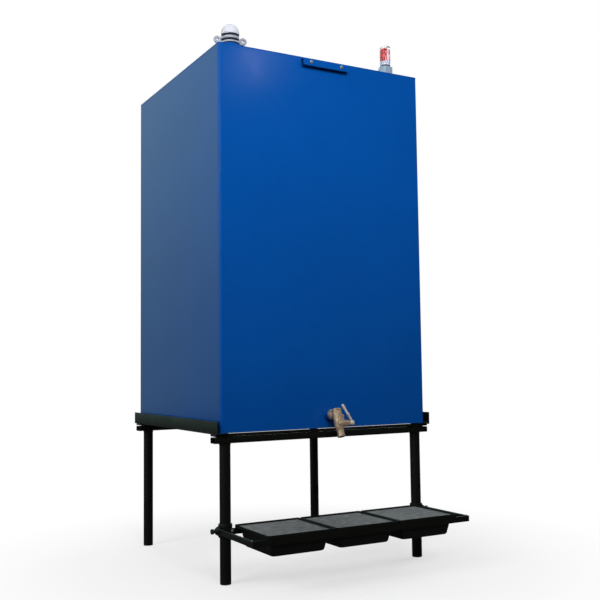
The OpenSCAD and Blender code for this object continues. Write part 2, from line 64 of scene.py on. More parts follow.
def above(centre, height):
    # point over or under another one
    return [centre[0], centre[1], height]


# the tank's outer faces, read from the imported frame
floorLow, floorHigh = corners("tank_floor")
tankLeft, tankFront, tankBottom = floorLow
tankRight, tankBack = floorHigh[:2]
tankTop = corners("tank_roof")[1][2]
print("frame loaded")


# shape functions


def roundCorners(points, radii, steps=5, closed=False):
    # arc in each corner: the arc's first arm swings about its centre until it lies on its last arm
    points = np.asarray(points, float)
    radii = np.maximum(np.broadcast_to(np.asarray(radii, float), len(points)), 0.00003)[:, None]
    before = np.roll(points, 1, axis=0) - points
    after = np.roll(points, -1, axis=0) - points
    before /= np.linalg.norm(before, axis=1, keepdims=True)
    after /= np.linalg.norm(after, axis=1, keepdims=True)
    half = np.arccos(np.clip((before * after).sum(1, keepdims=True), -0.9999, 0.9999)) / 2
    middle = before + after
    middle /= np.maximum(np.linalg.norm(middle, axis=1, keepdims=True), 1e-9)
    centre = points + middle * radii / np.sin(half)
    start = points + before * radii / np.tan(half) - centre
    end = points + after * radii / np.tan(half) - centre
    turn = (math.pi - 2 * half)[:, :, None]
    share = np.linspace(0, 1, steps)[None, :, None]
    arcs = (np.sin((1 - share) * turn) * start[:, None] + np.sin(share * turn) * end[:, None]) / np.sin(turn)
    arcs += centre[:, None]
    if closed:
        return arcs.reshape(-1, 2)
    return np.vstack([points[:1], arcs[1:-1].reshape(-1, 2), points[-1:]])


def loft(rows, ring=False, caps=True):
    # rows of closed loops joined by quads; a ring joins its last row to its first
    rows = np.asarray(rows, float)
    rowCount, loopCount = rows.shape[:2]
    index = np.arange(rowCount * loopCount).reshape(rowCount, loopCount)
    low = index if ring else index[:-1]
    high = np.roll(index, -1, axis=0) if ring else index[1:]
    quads = np.stack([low, np.roll(low, -1, 1), np.roll(high, -1, 1), high], -1).reshape(-1, 4)
    faces = quads.tolist()
    if caps and not ring:
        faces += [index[0, ::-1].tolist(), index[-1].tolist()]
    return rows.reshape(-1, 3), faces


axes = {
    "+Z": ((1, 0, 0), (0, 1, 0), (0, 0, 1)),
    "+X": ((0, 1, 0), (0, 0, 1), (1, 0, 0)),
    "-X": ((0, 0, 1), (0, 1, 0), (-1, 0, 0)),
    "-Y": ((1, 0, 0), (0, 0, 1), (0, -1, 0)),
}


def place(shape, origin, axis="+Z"):
    # local x, y and z become the three world directions that the axis names
    points, faces = shape
    return np.asarray(points) @ np.array(axes[axis], float) + np.asarray(origin, float), faces


def turned(shape, axis, angle, about):
    # Rodrigues' turn of every point about a line
    points, faces = shape
    axis = np.array(axis, float) / np.linalg.norm(axis)
    arm = points - np.asarray(about)
    moved = arm * math.cos(angle) + np.cross(axis, arm) * math.sin(angle)
    moved += np.outer(arm @ axis, axis) * (1 - math.cos(angle))
    return moved + np.asarray(about), faces


def lathe(profile, sides=48, ring=False):
    # every profile point (radius, height) runs once round the z axis
    profile = np.asarray(profile, float)
    angle = np.linspace(0, full, sides, endpoint=False)
    rows = np.stack([np.outer(profile[:, 0], np.cos(angle)), np.outer(profile[:, 0], np.sin(angle)),
                     np.repeat(profile[:, 1:], sides, 1)], -1)
    return loft(rows, ring)


def turnedPart(points, radii, sides=48, steps=5):
    # open profile with round corners, closed by a small flat at both ends of the axis
    return lathe(roundCorners(points, radii, steps), sides)


def turnedRing(points, radii, sides=48, steps=4):
    # closed profile with round corners, so that the shape has a bore
    return lathe(roundCorners(points, radii, steps, closed=True), sides, ring=True)


def rod(radius, low, high, lowEdge, highEdge, sides, steps=5, flat=0.4 * mm):
    # rectangle from the axis outwards, turned: a rod with two rounded ends
    return turnedPart([(flat, low), (radius, low), (radius, high), (flat, high)], [0, lowEdge, highEdge, 0],
                      sides, steps)


def band(bore, radius, low, high, boreEdge, outerEdge, sides, steps=4):
    # rectangle away from the axis, turned: a flat ring with rounded edges
    return turnedRing([(bore, low), (radius, low), (radius, high), (bore, high)],
                      [boreEdge, outerEdge, outerEdge, boreEdge], sides, steps)


def roundedRows(width, depth, corner, height, cornerSteps=6):
    # loop of four quarter circles, one row for each entry of the arrays
    width, depth, corner, height = np.broadcast_arrays(*[np.atleast_1d(v).astype(float)
                                                         for v in (width, depth, corner, height)])
    quarter = np.linspace(0, full / 4, cornerSteps)
    angle = (quarter[None] + np.arange(4)[:, None] * full / 4)[None]
    signX = np.array([1, -1, -1, 1])[None, :, None]
    signY = np.array([1, 1, -1, -1])[None, :, None]
    radius = corner[:, None, None]
    x = signX * (width[:, None, None] / 2 - radius) + radius * np.cos(angle)
    y = signY * (depth[:, None, None] / 2 - radius) + radius * np.sin(angle)
    z = np.broadcast_to(height[:, None, None], x.shape)
    return np.stack([x, y, z], -1).reshape(len(width), -1, 3)


def block(low, high, edge):
    # box whose loops draw in by a quarter circle at both ends
    low, high = np.asarray(low, float), np.asarray(high, float)
    size = high - low
    angle = np.linspace(0, full / 4, 4)
    inset = np.concatenate([edge * (1 - np.sin(angle)), edge * (1 - np.cos(angle))])
    rise = np.concatenate([edge * (1 - np.cos(angle)), size[2] - edge * (1 - np.sin(angle))])
    rows = roundedRows(size[0] - 2 * inset, size[1] - 2 * inset, np.maximum(edge - inset, 0.00002), rise)
    return place(loft(rows), midPlan(low, high, low[2]))


def hexBar(flats, length, chamfer, bore=None):
    # six-sided bar whose corners are cut back by a cone at both ends
    angle = np.linspace(0, full, 72, endpoint=False)
    local = np.mod(angle, full / 6) - full / 12
    hexRadius = flats / 2 / np.cos(local)
    heights = np.array([0, 0, chamfer, length - chamfer, length, length])
    limit = flats / 2 * np.array([0.9, 0.97, 1.2, 1.2, 0.97, 0.9])
    radius = np.minimum(hexRadius[None], limit[:, None])
    radius[[1, 4]] = np.minimum(hexRadius[None], flats / 2 * 1.02)
    rows = np.stack([radius * np.cos(angle), radius * np.sin(angle), np.repeat(heights[:, None], 72, 1)], -1)
    if bore is None:
        return loft(rows)
    hole = np.stack([bore * np.cos(angle), bore * np.sin(angle)], -1)
    top = np.concatenate([hole, np.full((72, 1), length)], 1)
    bottom = np.concatenate([hole, np.zeros((72, 1))], 1)
    return loft(np.concatenate([rows, top[None], bottom[None]]), ring=True)


def bead(path, radius, pitch, closed=False):
    # circle carried along a path; its radius swells by a sine once every pitch
    path = np.asarray(path, float)
    step = np.linalg.norm(np.diff(path, axis=0, append=path[:1]), axis=1)
    along = np.concatenate([[0], np.cumsum(step)[:-1]])
    ahead = np.roll(path, -1, 0) - np.roll(path, 1, 0)
    if not closed:
        ahead[0], ahead[-1] = path[1] - path[0], path[-1] - path[-2]
    ahead /= np.linalg.norm(ahead, axis=1, keepdims=True)
    side = np.cross(ahead, np.array([0.0, 0.0, 1.0]))
    side /= np.linalg.norm(side, axis=1, keepdims=True)
    over = np.cross(side, ahead)
    size = radius * (1 + 0.14 * np.sin(full * along / pitch))
    angle = np.linspace(0, full, 10, endpoint=False)
    wheel = np.cos(angle)[None, :, None] * side[:, None] + np.sin(angle)[None, :, None] * over[:, None]
    return loft(path[:, None] + wheel * size[:, None, None], ring=closed)


def straightBead(start, end, radius, pitch):
    # bead along a line, in steps of 1.5 mm
    count = int(np.linalg.norm(np.subtract(end, start)) / (1.5 * mm)) + 1
    return bead(np.linspace(start, end, count), radius, pitch)


def joined(shapes):
    points = [np.asarray(s[0]) for s in shapes]
    starts = np.cumsum([0] + [len(p) for p in points[:-1]])
    faces = [[v + int(start) for v in face] for s, start in zip(shapes, starts) for face in s[1]]
    return np.vstack(points), faces


def addObject(name, data):
    made = bpy.data.objects.new(name, data)
    bpy.context.scene.collection.objects.link(made)
    return made


def piece(name, shapes, finish, nodes=(), body="tank_and_stand", sharp=35, bevel=None):
    # one mesh from all the shapes, with its finish, the body it rides on and the nodes it stands for
    points, faces = joined(shapes)
    mesh = bpy.data.meshes.new(name)
    mesh.from_pydata(points.tolist(), [], faces)
    mesh.update()
    made = addObject(name, mesh)
    mesh.materials.append(finish)
    mesh.shade_smooth()
    if bevel:
        cut = made.modifiers.new("edges", "BEVEL")
        cut.width = bevel
        cut.segments = 2
        cut.limit_method = "ANGLE"
        cut.angle_limit = math.radians(40)
        cut.harden_normals = True
    else:
        mesh.set_sharp_from_angle(angle=math.radians(sharp))
    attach(made, body)
    if nodes:
        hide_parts(*nodes)


# shader groups that several finishes share


def feed(tree, socket, value):
    # another node's socket is linked, anything else is written into the socket
    if isinstance(value, bpy.types.NodeSocket):
        tree.links.new(value, socket)
    else:
        socket.default_value = value


def put(tree, kind, values=None, **settings):
    made = tree.nodes.new(kind)
    for key, value in settings.items():
        setattr(made, key, value)
    for key, value in (values or {}).items():
        feed(tree, made.inputs[key], value)
    return made


def maths(tree, operation, first, second=0.0, clamp=False):
    return put(tree, "ShaderNodeMath", {0: first, 1: second}, operation=operation, use_clamp=clamp).outputs[0]


def remap(tree, value, fromLow, fromHigh, toLow=0.0, toHigh=1.0, smooth=False):
    settings = {"interpolation_type": "SMOOTHSTEP"} if smooth else {}
    return put(tree, "ShaderNodeMapRange", {"Value": value, "From Min": fromLow, "From Max": fromHigh,
                                            "To Min": toLow, "To Max": toHigh}, **settings).outputs[0]


def blendColour(tree, share, first, second):
    # sockets 6, 7 and output 2 of a Mix node are its colours
    return put(tree, "ShaderNodeMix", {"Factor": share, 6: first, 7: second}, data_type="RGBA").outputs[2]


def noise(tree, scale, detail=3.0, stretch=None, roughness=0.5):
    at = put(tree, "ShaderNodeTexCoord").outputs["Object"]
    if stretch:
        at = put(tree, "ShaderNodeMapping", {"Vector": at, "Scale": stretch}).outputs[0]
    return put(tree, "ShaderNodeTexNoise", {"Vector": at, "Scale": scale, "Detail": detail,
                                            "Roughness": roughness}).outputs[0]


def bumped(tree, height, **more):
    # normal bent by a height in metres
    values = {"Height": height, "Distance": 1.0, "Strength": 1.0, **more}
    return put(tree, "ShaderNodeBump", values).outputs[0]


def fineSkin(tree, scale, depth, detail=2.0):
    # normal bent by fine noise of a depth in metres
    return bumped(tree, maths(tree, "MULTIPLY", noise(tree, scale, detail), depth))


def newGroup(name, inputs, outputs):
    tree = bpy.data.node_groups.new(name, "ShaderNodeTree")
    for label, kind, value in inputs:
        made = tree.interface.new_socket(label, in_out="INPUT", socket_type="NodeSocket" + kind)
        made.default_value = value
    for label, kind in outputs:
        tree.interface.new_socket(label, in_out="OUTPUT", socket_type="NodeSocket" + kind)
    return tree, tree.nodes.new("NodeGroupInput").outputs, tree.nodes.new("NodeGroupOutput").inputs


def useGroup(tree, group, **values):
    # one group placed in a material; each group has one output
    return put(tree, "ShaderNodeGroup", values, node_tree=group).outputs[0]


def makeEdgeRubAndSheen():
    # rises to 1 where a rounded normal turns away from the flat one, broken up by noise
    tree, given, result = newGroup("edgeRubAndSheen", [("Width", "Float", 0.0015)], [("Mask", "Float")])
    soft = put(tree, "ShaderNodeBevel", {"Radius": given["Width"]}, samples=4).outputs[0]
    flat = put(tree, "ShaderNodeNewGeometry").outputs["Normal"]
    same = put(tree, "ShaderNodeVectorMath", {0: soft, 1: flat}, operation="DOT_PRODUCT").outputs["Value"]
    edge = remap(tree, same, 0.985, 0.80)
    worn = remap(tree, noise(tree, 60.0, 4.0), 0.42, 0.66)
    tree.links.new(maths(tree, "MULTIPLY", edge, worn, True), result["Mask"])
    return tree


def makeToneDrift():
    # colour times 1 plus slow noise, so that a broad surface isn't one tone
    tree, given, result = newGroup("toneDrift", [("Colour", "Color", (0.5, 0.5, 0.5, 1)),
                                                 ("Spread", "Float", 0.1)], [("Colour", "Color")])
    slow = remap(tree, noise(tree, 2.6, 2.0), 0.3, 0.7, -1.0, 1.0)
    quick = remap(tree, noise(tree, 38.0, 4.0), 0.3, 0.7, -0.4, 0.4)
    change = maths(tree, "MULTIPLY", maths(tree, "ADD", slow, quick), given["Spread"])
    value = maths(tree, "ADD", change, 1.0)
    shifted = put(tree, "ShaderNodeHueSaturation", {"Value": value, "Color": given["Colour"]}).outputs[0]
    tree.links.new(shifted, result["Colour"])
    return tree


def makeSheetRelief():
    # height in metres: slow waves of a thin sheet plus the fine skin of sprayed paint
    tree, given, result = newGroup("sheetRelief", [("Wave", "Float", 0.0004), ("Skin", "Float", 0.00001)],
                                   [("Height", "Float")])
    wave = maths(tree, "MULTIPLY", noise(tree, 2.1, 1.0), given["Wave"])
    skin = maths(tree, "MULTIPLY", noise(tree, 650.0, 2.0), given["Skin"])
    tree.links.new(maths(tree, "ADD", wave, skin), result["Height"])
    return tree


def makeDustFilm():
    # thin dust: more on faces that look up, patchy everywhere
    tree, given, result = newGroup("dustFilm", [("Amount", "Float", 0.2)], [("Mask", "Float")])
    normal = put(tree, "ShaderNodeNewGeometry").outputs["Normal"]
    up = put(tree, "ShaderNodeSeparateXYZ", {0: normal}).outputs["Z"]
    facing = remap(tree, up, 0.1, 0.95, 0.18, 1.0, smooth=True)
    patches = remap(tree, noise(tree, 9.0, 6.0, roughness=0.62), 0.38, 0.72)
    grains = remap(tree, noise(tree, 240.0, 2.0), 0.35, 0.7, 0.55, 1.0)
    mask = maths(tree, "MULTIPLY", maths(tree, "MULTIPLY", facing, patches), grains)
    tree.links.new(maths(tree, "MULTIPLY", mask, given["Amount"], True), result["Mask"])
    return tree


def makeRunMarks():
    # faint upright streaks: noise stretched along z
    tree, given, result = newGroup("runMarks", [("Amount", "Float", 0.1)], [("Mask", "Float")])
    thin = remap(tree, noise(tree, 1.0, 3.0, stretch=(34, 34, 1.1)), 0.54, 0.74)
    broad = remap(tree, noise(tree, 1.0, 2.0, stretch=(6, 6, 0.8)), 0.45, 0.7)
    mask = maths(tree, "MULTIPLY", maths(tree, "MULTIPLY", thin, broad), given["Amount"], True)
    tree.links.new(mask, result["Mask"])
    return tree


edgeRubAndSheen = makeEdgeRubAndSheen()
toneDrift = makeToneDrift()
sheetRelief = makeSheetRelief()
dustFilm = makeDustFilm()
runMarks = makeRunMarks()


def newFinish(name):
    made = bpy.data.materials.new(name)
    made.use_nodes = True
    shader = made.node_tree.nodes["Principled BSDF"]
    return made, made.node_tree, shader


def wire(tree, shader, **values):
    for key, value in values.items():
        feed(tree, shader.inputs[key.replace("_", " ")], value)


def sprayedPaint(name, values):
    # paint whose tone drifts, lighter at edges (rubbed paint, and on the blue tank a painted edge highlight),
    # with a film of dust and faint runs
    made, tree, shader = newFinish(name)
    colour = useGroup(tree, toneDrift, Colour=values["colour"], Spread=values["spread"])
    rubAndSheen = maths(tree, "MULTIPLY", useGroup(tree, edgeRubAndSheen, Width=values["rubAndSheenWidth"]), values["rubAndSheen"], True)
    dust = useGroup(tree, dustFilm, Amount=values["dust"])
    runs = useGroup(tree, runMarks, Amount=values["runs"])
    # edge colour: rubbed paint, and on the tank a lighter blue that is a painted edge highlight
    colour = blendColour(tree, rubAndSheen, colour, values["rubAndSheenColour"])
    colour = blendColour(tree, maths(tree, "ADD", dust, runs, True), colour, values["dustColour"])
    patch = remap(tree, noise(tree, 14.0, 4.0), 0.3, 0.7, -values["roughSpread"], values["roughSpread"])
    rough = maths(tree, "ADD", maths(tree, "ADD", patch, values["roughness"]),
                  maths(tree, "MULTIPLY", dust, 0.5), True)
    height = useGroup(tree, sheetRelief, Wave=values["wave"], Skin=values["skin"])
    soft = put(tree, "ShaderNodeBevel", {"Radius": values["edge"]}, samples=4).outputs[0]
    wire(tree, shader, Base_Color=colour, Roughness=rough, Normal=bumped(tree, height, Normal=soft),
         IOR=values["ior"])
    return made


def bareMetal(name, values):
    # metal with clouded tarnish, worn edges that shine, and a cast or plated skin
    made, tree, shader = newFinish(name)
    clouds = remap(tree, noise(tree, values["cloudScale"], 5.0, roughness=0.6), 0.36, 0.68)
    colour = blendColour(tree, clouds, values["colour"], values["tarnish"])
    rubAndSheen = useGroup(tree, edgeRubAndSheen, Width=values["rubAndSheenWidth"])
    colour = blendColour(tree, maths(tree, "MULTIPLY", rubAndSheen, 0.7), colour, values["shine"])
    rough = maths(tree, "ADD", remap(tree, clouds, 0.0, 1.0, -0.06, 0.1), values["roughness"], True)
    wire(tree, shader, Base_Color=colour, Roughness=rough, Metallic=values["metallic"],
         Normal=fineSkin(tree, values["grainScale"], values["grain"], 3.0))
    return made


def mouldedPlastic(name, values):
    # plastic or rubber with a fine moulded skin, slow tone changes and some dust
    made, tree, shader = newFinish(name)
    colour = useGroup(tree, toneDrift, Colour=values["colour"], Spread=values["spread"])
    colour = blendColour(tree, useGroup(tree, dustFilm, Amount=values["dust"]), colour, values["dustColour"])
    rough = maths(tree, "ADD", remap(tree, noise(tree, 60.0, 3.0), 0.3, 0.7, -0.05, 0.05),
                  values["roughness"], True)
    wire(tree, shader, Base_Color=colour, Roughness=rough, IOR=values["ior"],
         Normal=fineSkin(tree, 900.0, values["skin"]))
    return made


# finishes

# the tank's lighter blue edge colour is a painted edge highlight, patchy like rubbed paint
tankPaint = sprayedPaint("tankPaint", {
    "colour": (0.0, 0.059, 0.284, 1), "spread": 0.05, "roughness": 0.16, "roughSpread": 0.03,
    "rubAndSheen": 0.35, "rubAndSheenWidth": 1.6 * mm, "rubAndSheenColour": (0.10, 0.26, 0.62, 1),
    "dust": 0.05, "dustColour": (0.04, 0.12, 0.34, 1), "runs": 0.03,
    "wave": 0.25 * mm, "skin": 0.006 * mm, "edge": 1.6 * mm, "ior": 1.45,
})
standPaint = sprayedPaint("standPaint", {
    "colour": (0.0040, 0.0046, 0.0032, 1), "spread": 0.22, "roughness": 0.36, "roughSpread": 0.07,
    "rubAndSheen": 0.45, "rubAndSheenWidth": 1.2 * mm, "rubAndSheenColour": (0.050, 0.050, 0.042, 1),
    "dust": 0.08, "dustColour": (0.10, 0.095, 0.08, 1), "runs": 0.03,
    "wave": 0.2 * mm, "skin": 0.020 * mm, "edge": 0.8 * mm, "ior": 1.42,
})
trayPaint = sprayedPaint("trayPaint", {
    "colour": (0.0042, 0.0050, 0.0038, 1), "spread": 0.2, "roughness": 0.38, "roughSpread": 0.07,
    "rubAndSheen": 0.45, "rubAndSheenWidth": 1.0 * mm, "rubAndSheenColour": (0.055, 0.055, 0.048, 1),
    "dust": 0.08, "dustColour": (0.10, 0.096, 0.084, 1), "runs": 0.02,
    "wave": 0.25 * mm, "skin": 0.012 * mm, "edge": 0.8 * mm, "ior": 1.42,
})
gridPaint = sprayedPaint("gridPaint", {
    "colour": (0.155, 0.170, 0.175, 1), "spread": 0.24, "roughness": 0.42, "roughSpread": 0.10,
    "rubAndSheen": 0.6, "rubAndSheenWidth": 0.5 * mm, "rubAndSheenColour": (0.42, 0.44, 0.44, 1),
    "dust": 0.18, "dustColour": (0.30, 0.29, 0.27, 1), "runs": 0.0,
    "wave": 0.1 * mm, "skin": 0.010 * mm, "edge": 0.3 * mm, "ior": 1.45,
})
tapBrass = bareMetal("tapBrass", {
    "colour": (0.74, 0.54, 0.37, 1), "tarnish": (0.44, 0.30, 0.19, 1), "shine": (0.97, 0.84, 0.68, 1),
    "roughness": 0.28, "metallic": 0.62, "cloudScale": 95.0, "rubAndSheenWidth": 1.0 * mm,
    "grain": 0.05 * mm, "grainScale": 1300.0,
})
leverSteel = bareMetal("leverSteel", {
    "colour": (0.90, 0.82, 0.74, 1), "tarnish": (0.68, 0.55, 0.44, 1), "shine": (0.98, 0.95, 0.90, 1),
    "roughness": 0.26, "metallic": 0.5, "cloudScale": 60.0, "rubAndSheenWidth": 0.8 * mm,
    "grain": 0.02 * mm, "grainScale": 900.0,
})
zincBolt = bareMetal("zincBolt", {
    "colour": (0.80, 0.82, 0.86, 1), "tarnish": (0.58, 0.60, 0.62, 1), "shine": (0.97, 0.98, 1.0, 1),
    "roughness": 0.28, "metallic": 0.9, "cloudScale": 150.0, "rubAndSheenWidth": 0.5 * mm,
    "grain": 0.01 * mm, "grainScale": 1500.0,
})
gaugeZinc = bareMetal("gaugeZinc", {
    "colour": (0.36, 0.46, 0.57, 1), "tarnish": (0.25, 0.34, 0.45, 1), "shine": (0.66, 0.74, 0.82, 1),
    "roughness": 0.46, "metallic": 0.35, "cloudScale": 70.0, "rubAndSheenWidth": 1.0 * mm,
    "grain": 0.03 * mm, "grainScale": 800.0,
})
ventWhite = mouldedPlastic("ventWhite", {
    "colour": (0.53, 0.53, 0.60, 1), "spread": 0.05, "roughness": 0.34, "skin": 0.01 * mm,
    "dust": 0.3, "dustColour": (0.42, 0.42, 0.47, 1), "ior": 1.46,
})
# darker grey-blue: painted shade on the vent's white rings; the wing ears share it
ventShadeGrey = mouldedPlastic("ventShadeGrey", {
    "colour": (0.27, 0.29, 0.35, 1), "spread": 0.14, "roughness": 0.36, "skin": 0.015 * mm,
    "dust": 0.45, "dustColour": (0.20, 0.22, 0.27, 1), "ior": 1.46,
})
gasketRubber = mouldedPlastic("gasketRubber", {
    "colour": (0.012, 0.013, 0.017, 1), "spread": 0.2, "roughness": 0.55, "skin": 0.02 * mm,
    "dust": 0.12, "dustColour": (0.12, 0.12, 0.12, 1), "ior": 1.45,
})
footPlastic = mouldedPlastic("footPlastic", {
    "colour": (0.013, 0.013, 0.013, 1), "spread": 0.2, "roughness": 0.5, "skin": 0.02 * mm,
    "dust": 0.35, "dustColour": (0.16, 0.15, 0.13, 1), "ior": 1.46,
})
knobBlack = mouldedPlastic("knobBlack", {
    "colour": (0.012, 0.012, 0.012, 1), "spread": 0.2, "roughness": 0.42, "skin": 0.015 * mm,
    "dust": 0.15, "dustColour": (0.14, 0.13, 0.12, 1), "ior": 1.46,
})
print("plain finishes made")


def aboutAxis(tree, centre):
    # angle round an upright axis, and height above its foot
    at = put(tree, "ShaderNodeTexCoord").outputs["Object"]
    local = put(tree, "ShaderNodeVectorMath", {0: at, 1: centre}, operation="SUBTRACT").outputs[0]
    parts = put(tree, "ShaderNodeSeparateXYZ", {0: local}).outputs
    return maths(tree, "ARCTAN2", parts["Y"], parts["X"]), parts["Z"]


def makeFloatRed(values):
    # red plastic with one pale upright painted reflection: a band of angle about the float's own axis
    made, tree, shader = newFinish("floatRed")
    angle = aboutAxis(tree, values["centre"])[0]
    away = maths(tree, "ABSOLUTE", maths(tree, "SUBTRACT", angle, math.radians(values["reflectionAngle"])))
    paintedReflection = remap(tree, away, math.radians(values["reflectionHalf"]), math.radians(values["reflectionHalf"] - 4))
    colour = useGroup(tree, toneDrift, Colour=values["colour"], Spread=0.08)
    colour = blendColour(tree, paintedReflection, colour, values["reflectionColour"])
    rough = remap(tree, noise(tree, 80.0, 3.0), 0.3, 0.7, 0.22, 0.34)
    wire(tree, shader, Base_Color=colour, Roughness=rough, Normal=fineSkin(tree, 900.0, 0.01 * mm))
    return made


def makeScaleBand(values):
    # pale printed band: short dark ticks where the angle and the height both fall in a window
    made, tree, shader = newFinish("scaleBand")
    angle, rise = aboutAxis(tree, values["centre"])
    turn = maths(tree, "FRACT", maths(tree, "MULTIPLY", angle, values["ticks"] / full))
    tick = remap(tree, maths(tree, "ABSOLUTE", maths(tree, "SUBTRACT", turn, 0.5)), 0.17, 0.13)
    level = maths(tree, "ABSOLUTE", maths(tree, "SUBTRACT", rise, values["tickHeight"]))
    window = remap(tree, level, values["tickLength"] / 2, values["tickLength"] / 2 - 0.3 * mm)
    colour = useGroup(tree, toneDrift, Colour=values["colour"], Spread=0.08)
    mask = maths(tree, "MULTIPLY", maths(tree, "MULTIPLY", tick, window), 0.75, True)
    colour = blendColour(tree, mask, colour, values["tickColour"])
    rough = remap(tree, noise(tree, 70.0, 3.0), 0.3, 0.7, 0.36, 0.5)
    wire(tree, shader, Base_Color=colour, Roughness=rough)
    return made


def makeClearTube(values):
    # clear moulded plastic, with a faint haze in its roughness
    made, tree, shader = newFinish("clearTube")
    rough = remap(tree, noise(tree, 50.0, 3.0), 0.35, 0.7, 0.02, 0.09)
    wire(tree, shader, Base_Color=values["colour"], Roughness=rough, IOR=values["ior"],
         Transmission_Weight=1.0, Normal=fineSkin(tree, 120.0, 0.02 * mm))
    return made


# tank

for nodeName in ("tank_front_wall", "tank_back_wall", "tank_left_wall", "tank_right_wall", "tank_roof",
                 "tank_floor"):
    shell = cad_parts[nodeName]
    shell.data.materials.clear()
    shell.data.materials.append(tankPaint)

tankSeams = {
    "beadRadius": 1.3 * mm,  # painted weld that closes the roof and the floor
    "sink": 0.8 * mm,  # how far the weld's middle lies inside the sheet's face
    "plateThickness": 3 * mm,
    "cornerRadius": 8 * mm,
    "pitch": 7 * mm,
    "points": 1600,
}


def tankOutline(inset):
    # rounded rectangle of the tank's plan, drawn in by the inset
    width, depth = tankRight - tankLeft - 2 * inset, tankBack - tankFront - 2 * inset
    loop = roundedRows(width, depth, tankSeams["cornerRadius"] - inset, 0.0, 7)[0]
    ends = np.vstack([loop, loop[:1]])
    length = np.concatenate([[0], np.cumsum(np.linalg.norm(np.diff(ends, axis=0), axis=1))])
    at = np.linspace(0, length[-1], tankSeams["points"], endpoint=False)
    flat = np.stack([np.interp(at, length, ends[:, k]) for k in range(3)], -1)
    return flat + np.array(midPlan(floorLow, floorHigh, 0))


def buildTankSeams(values):
    # one bead round the roof plate and one round the floor plate
    loop = tankOutline(values["sink"])
    shapes = [bead(loop + np.array([0, 0, height]), values["beadRadius"], values["pitch"], closed=True)
              for height in (tankTop - values["plateThickness"], tankBottom + values["plateThickness"])]
    piece("tank_seam_welds", shapes, tankPaint)


buildTankSeams(tankSeams)

bracket = {
    "sheet": 3 * mm,
    "bend": 3.2 * mm,
    "boltGap": 114 * mm,
    "headRadius": 6.2 * mm,
    "headHeight": 4.6 * mm,
}


def buildBracket(values):
    # bent strip: its L outline runs along x
    low, high = corners("top_bracket")
    sheet = values["sheet"]
    outline = [(-low[1], low[2]), (-low[1], high[2]), (-high[1], high[2]), (-high[1], high[2] - sheet),
               (-low[1] - sheet, high[2] - sheet), (-low[1] - sheet, low[2])]
    radii = [0.8 * mm, values["bend"], 0.4 * mm, 0.4 * mm, 0.6 * mm, 0.8 * mm]
    loop = roundCorners(outline, radii, 5, closed=True)
    # local x is -Y here and local y is Z, so local z runs along -X
    rows = np.stack([np.column_stack([np.full(len(loop), x), -loop[:, 0], loop[:, 1]])
                     for x in (low[0], high[0])])
    body = loft(rows[:, ::-1])
    start, end = [[x, high[1] - 0.4 * mm, high[2] - 0.6 * mm] for x in (low[0] + 2 * mm, high[0] - 2 * mm)]
    weld = straightBead(start, end, 1.7 * mm, 6 * mm)
    piece("top_bracket_strip", [body], tankPaint, ["top_bracket"], bevel=0.5 * mm)
    piece("top_bracket_weld", [weld], tankPaint)
    height = nodeCentre("bracket_bolts")[2]
    shapes = []
    for side in (-1, 1):
        at = [side * values["boltGap"] / 2, low[1], height]
        head = turnedPart([(0.4 * mm, 0), (values["headRadius"], 0), (values["headRadius"], 1.4 * mm),
                           (values["headRadius"] * 0.62, values["headHeight"]), (0.4 * mm, 5.2 * mm)],
                          [0, 0.3 * mm, 1.0 * mm, 1.8 * mm, 0], 40)
        shank = rod(3 * mm, -7 * mm, 0.2 * mm, 0.4 * mm, 0.1 * mm, 24)
        shapes += [place(head, at, "-Y"), place(shank, at, "-Y")]
    piece("top_bracket_bolts", shapes, zincBolt, ["bracket_bolts"])


buildBracket(bracket)
print("tank and bracket made")

# stand

rails = {
    "thickness": 4 * mm,
    "rootRadius": 5 * mm,  # fillet inside the angle
    "toeRadius": 2.4 * mm,  # rounding of both flange tips
    "heelRadius": 0.8 * mm,
}


def buildRail(nodeName, sign, values):
    # rolled angle: L outline in x and z, carried along y
    low, high = corners(nodeName)
    t = values["thickness"]
    width, height = high[0] - low[0], high[2] - low[2]
    outline = np.array([(0, 0), (width, 0), (width, t), (t, t), (t, height), (0, height)])
    radii = [values["heelRadius"], 0.5 * mm, values["toeRadius"], values["rootRadius"], values["toeRadius"],
             0.5 * mm]
    loop = roundCorners(outline, radii, 6, closed=True)
    loop[:, 0] = low[0] + loop[:, 0] if sign < 0 else high[0] - loop[:, 0]
    loop[:, 1] += low[2]
    if sign > 0:
        loop = loop[::-1]
    stations = np.array([-high[1], -low[1]])
    rows = np.stack([np.column_stack([loop, np.full(len(loop), s)]) for s in stations])
    piece(nodeName + "_angle", [place(loft(rows), (0, 0, 0), "-Y")], standPaint, [nodeName],
          bevel=0.5 * mm)


buildRail("left_side_rail", -1, rails)
buildRail("right_side_rail", 1, rails)

crossBars = {
    "flatThickness": 6 * mm,
    "padWidth": 40 * mm,
    "edge": 0.9 * mm,
    "tubeWall": 2.5 * mm,
    "tubeCorner": 3.2 * mm,
}


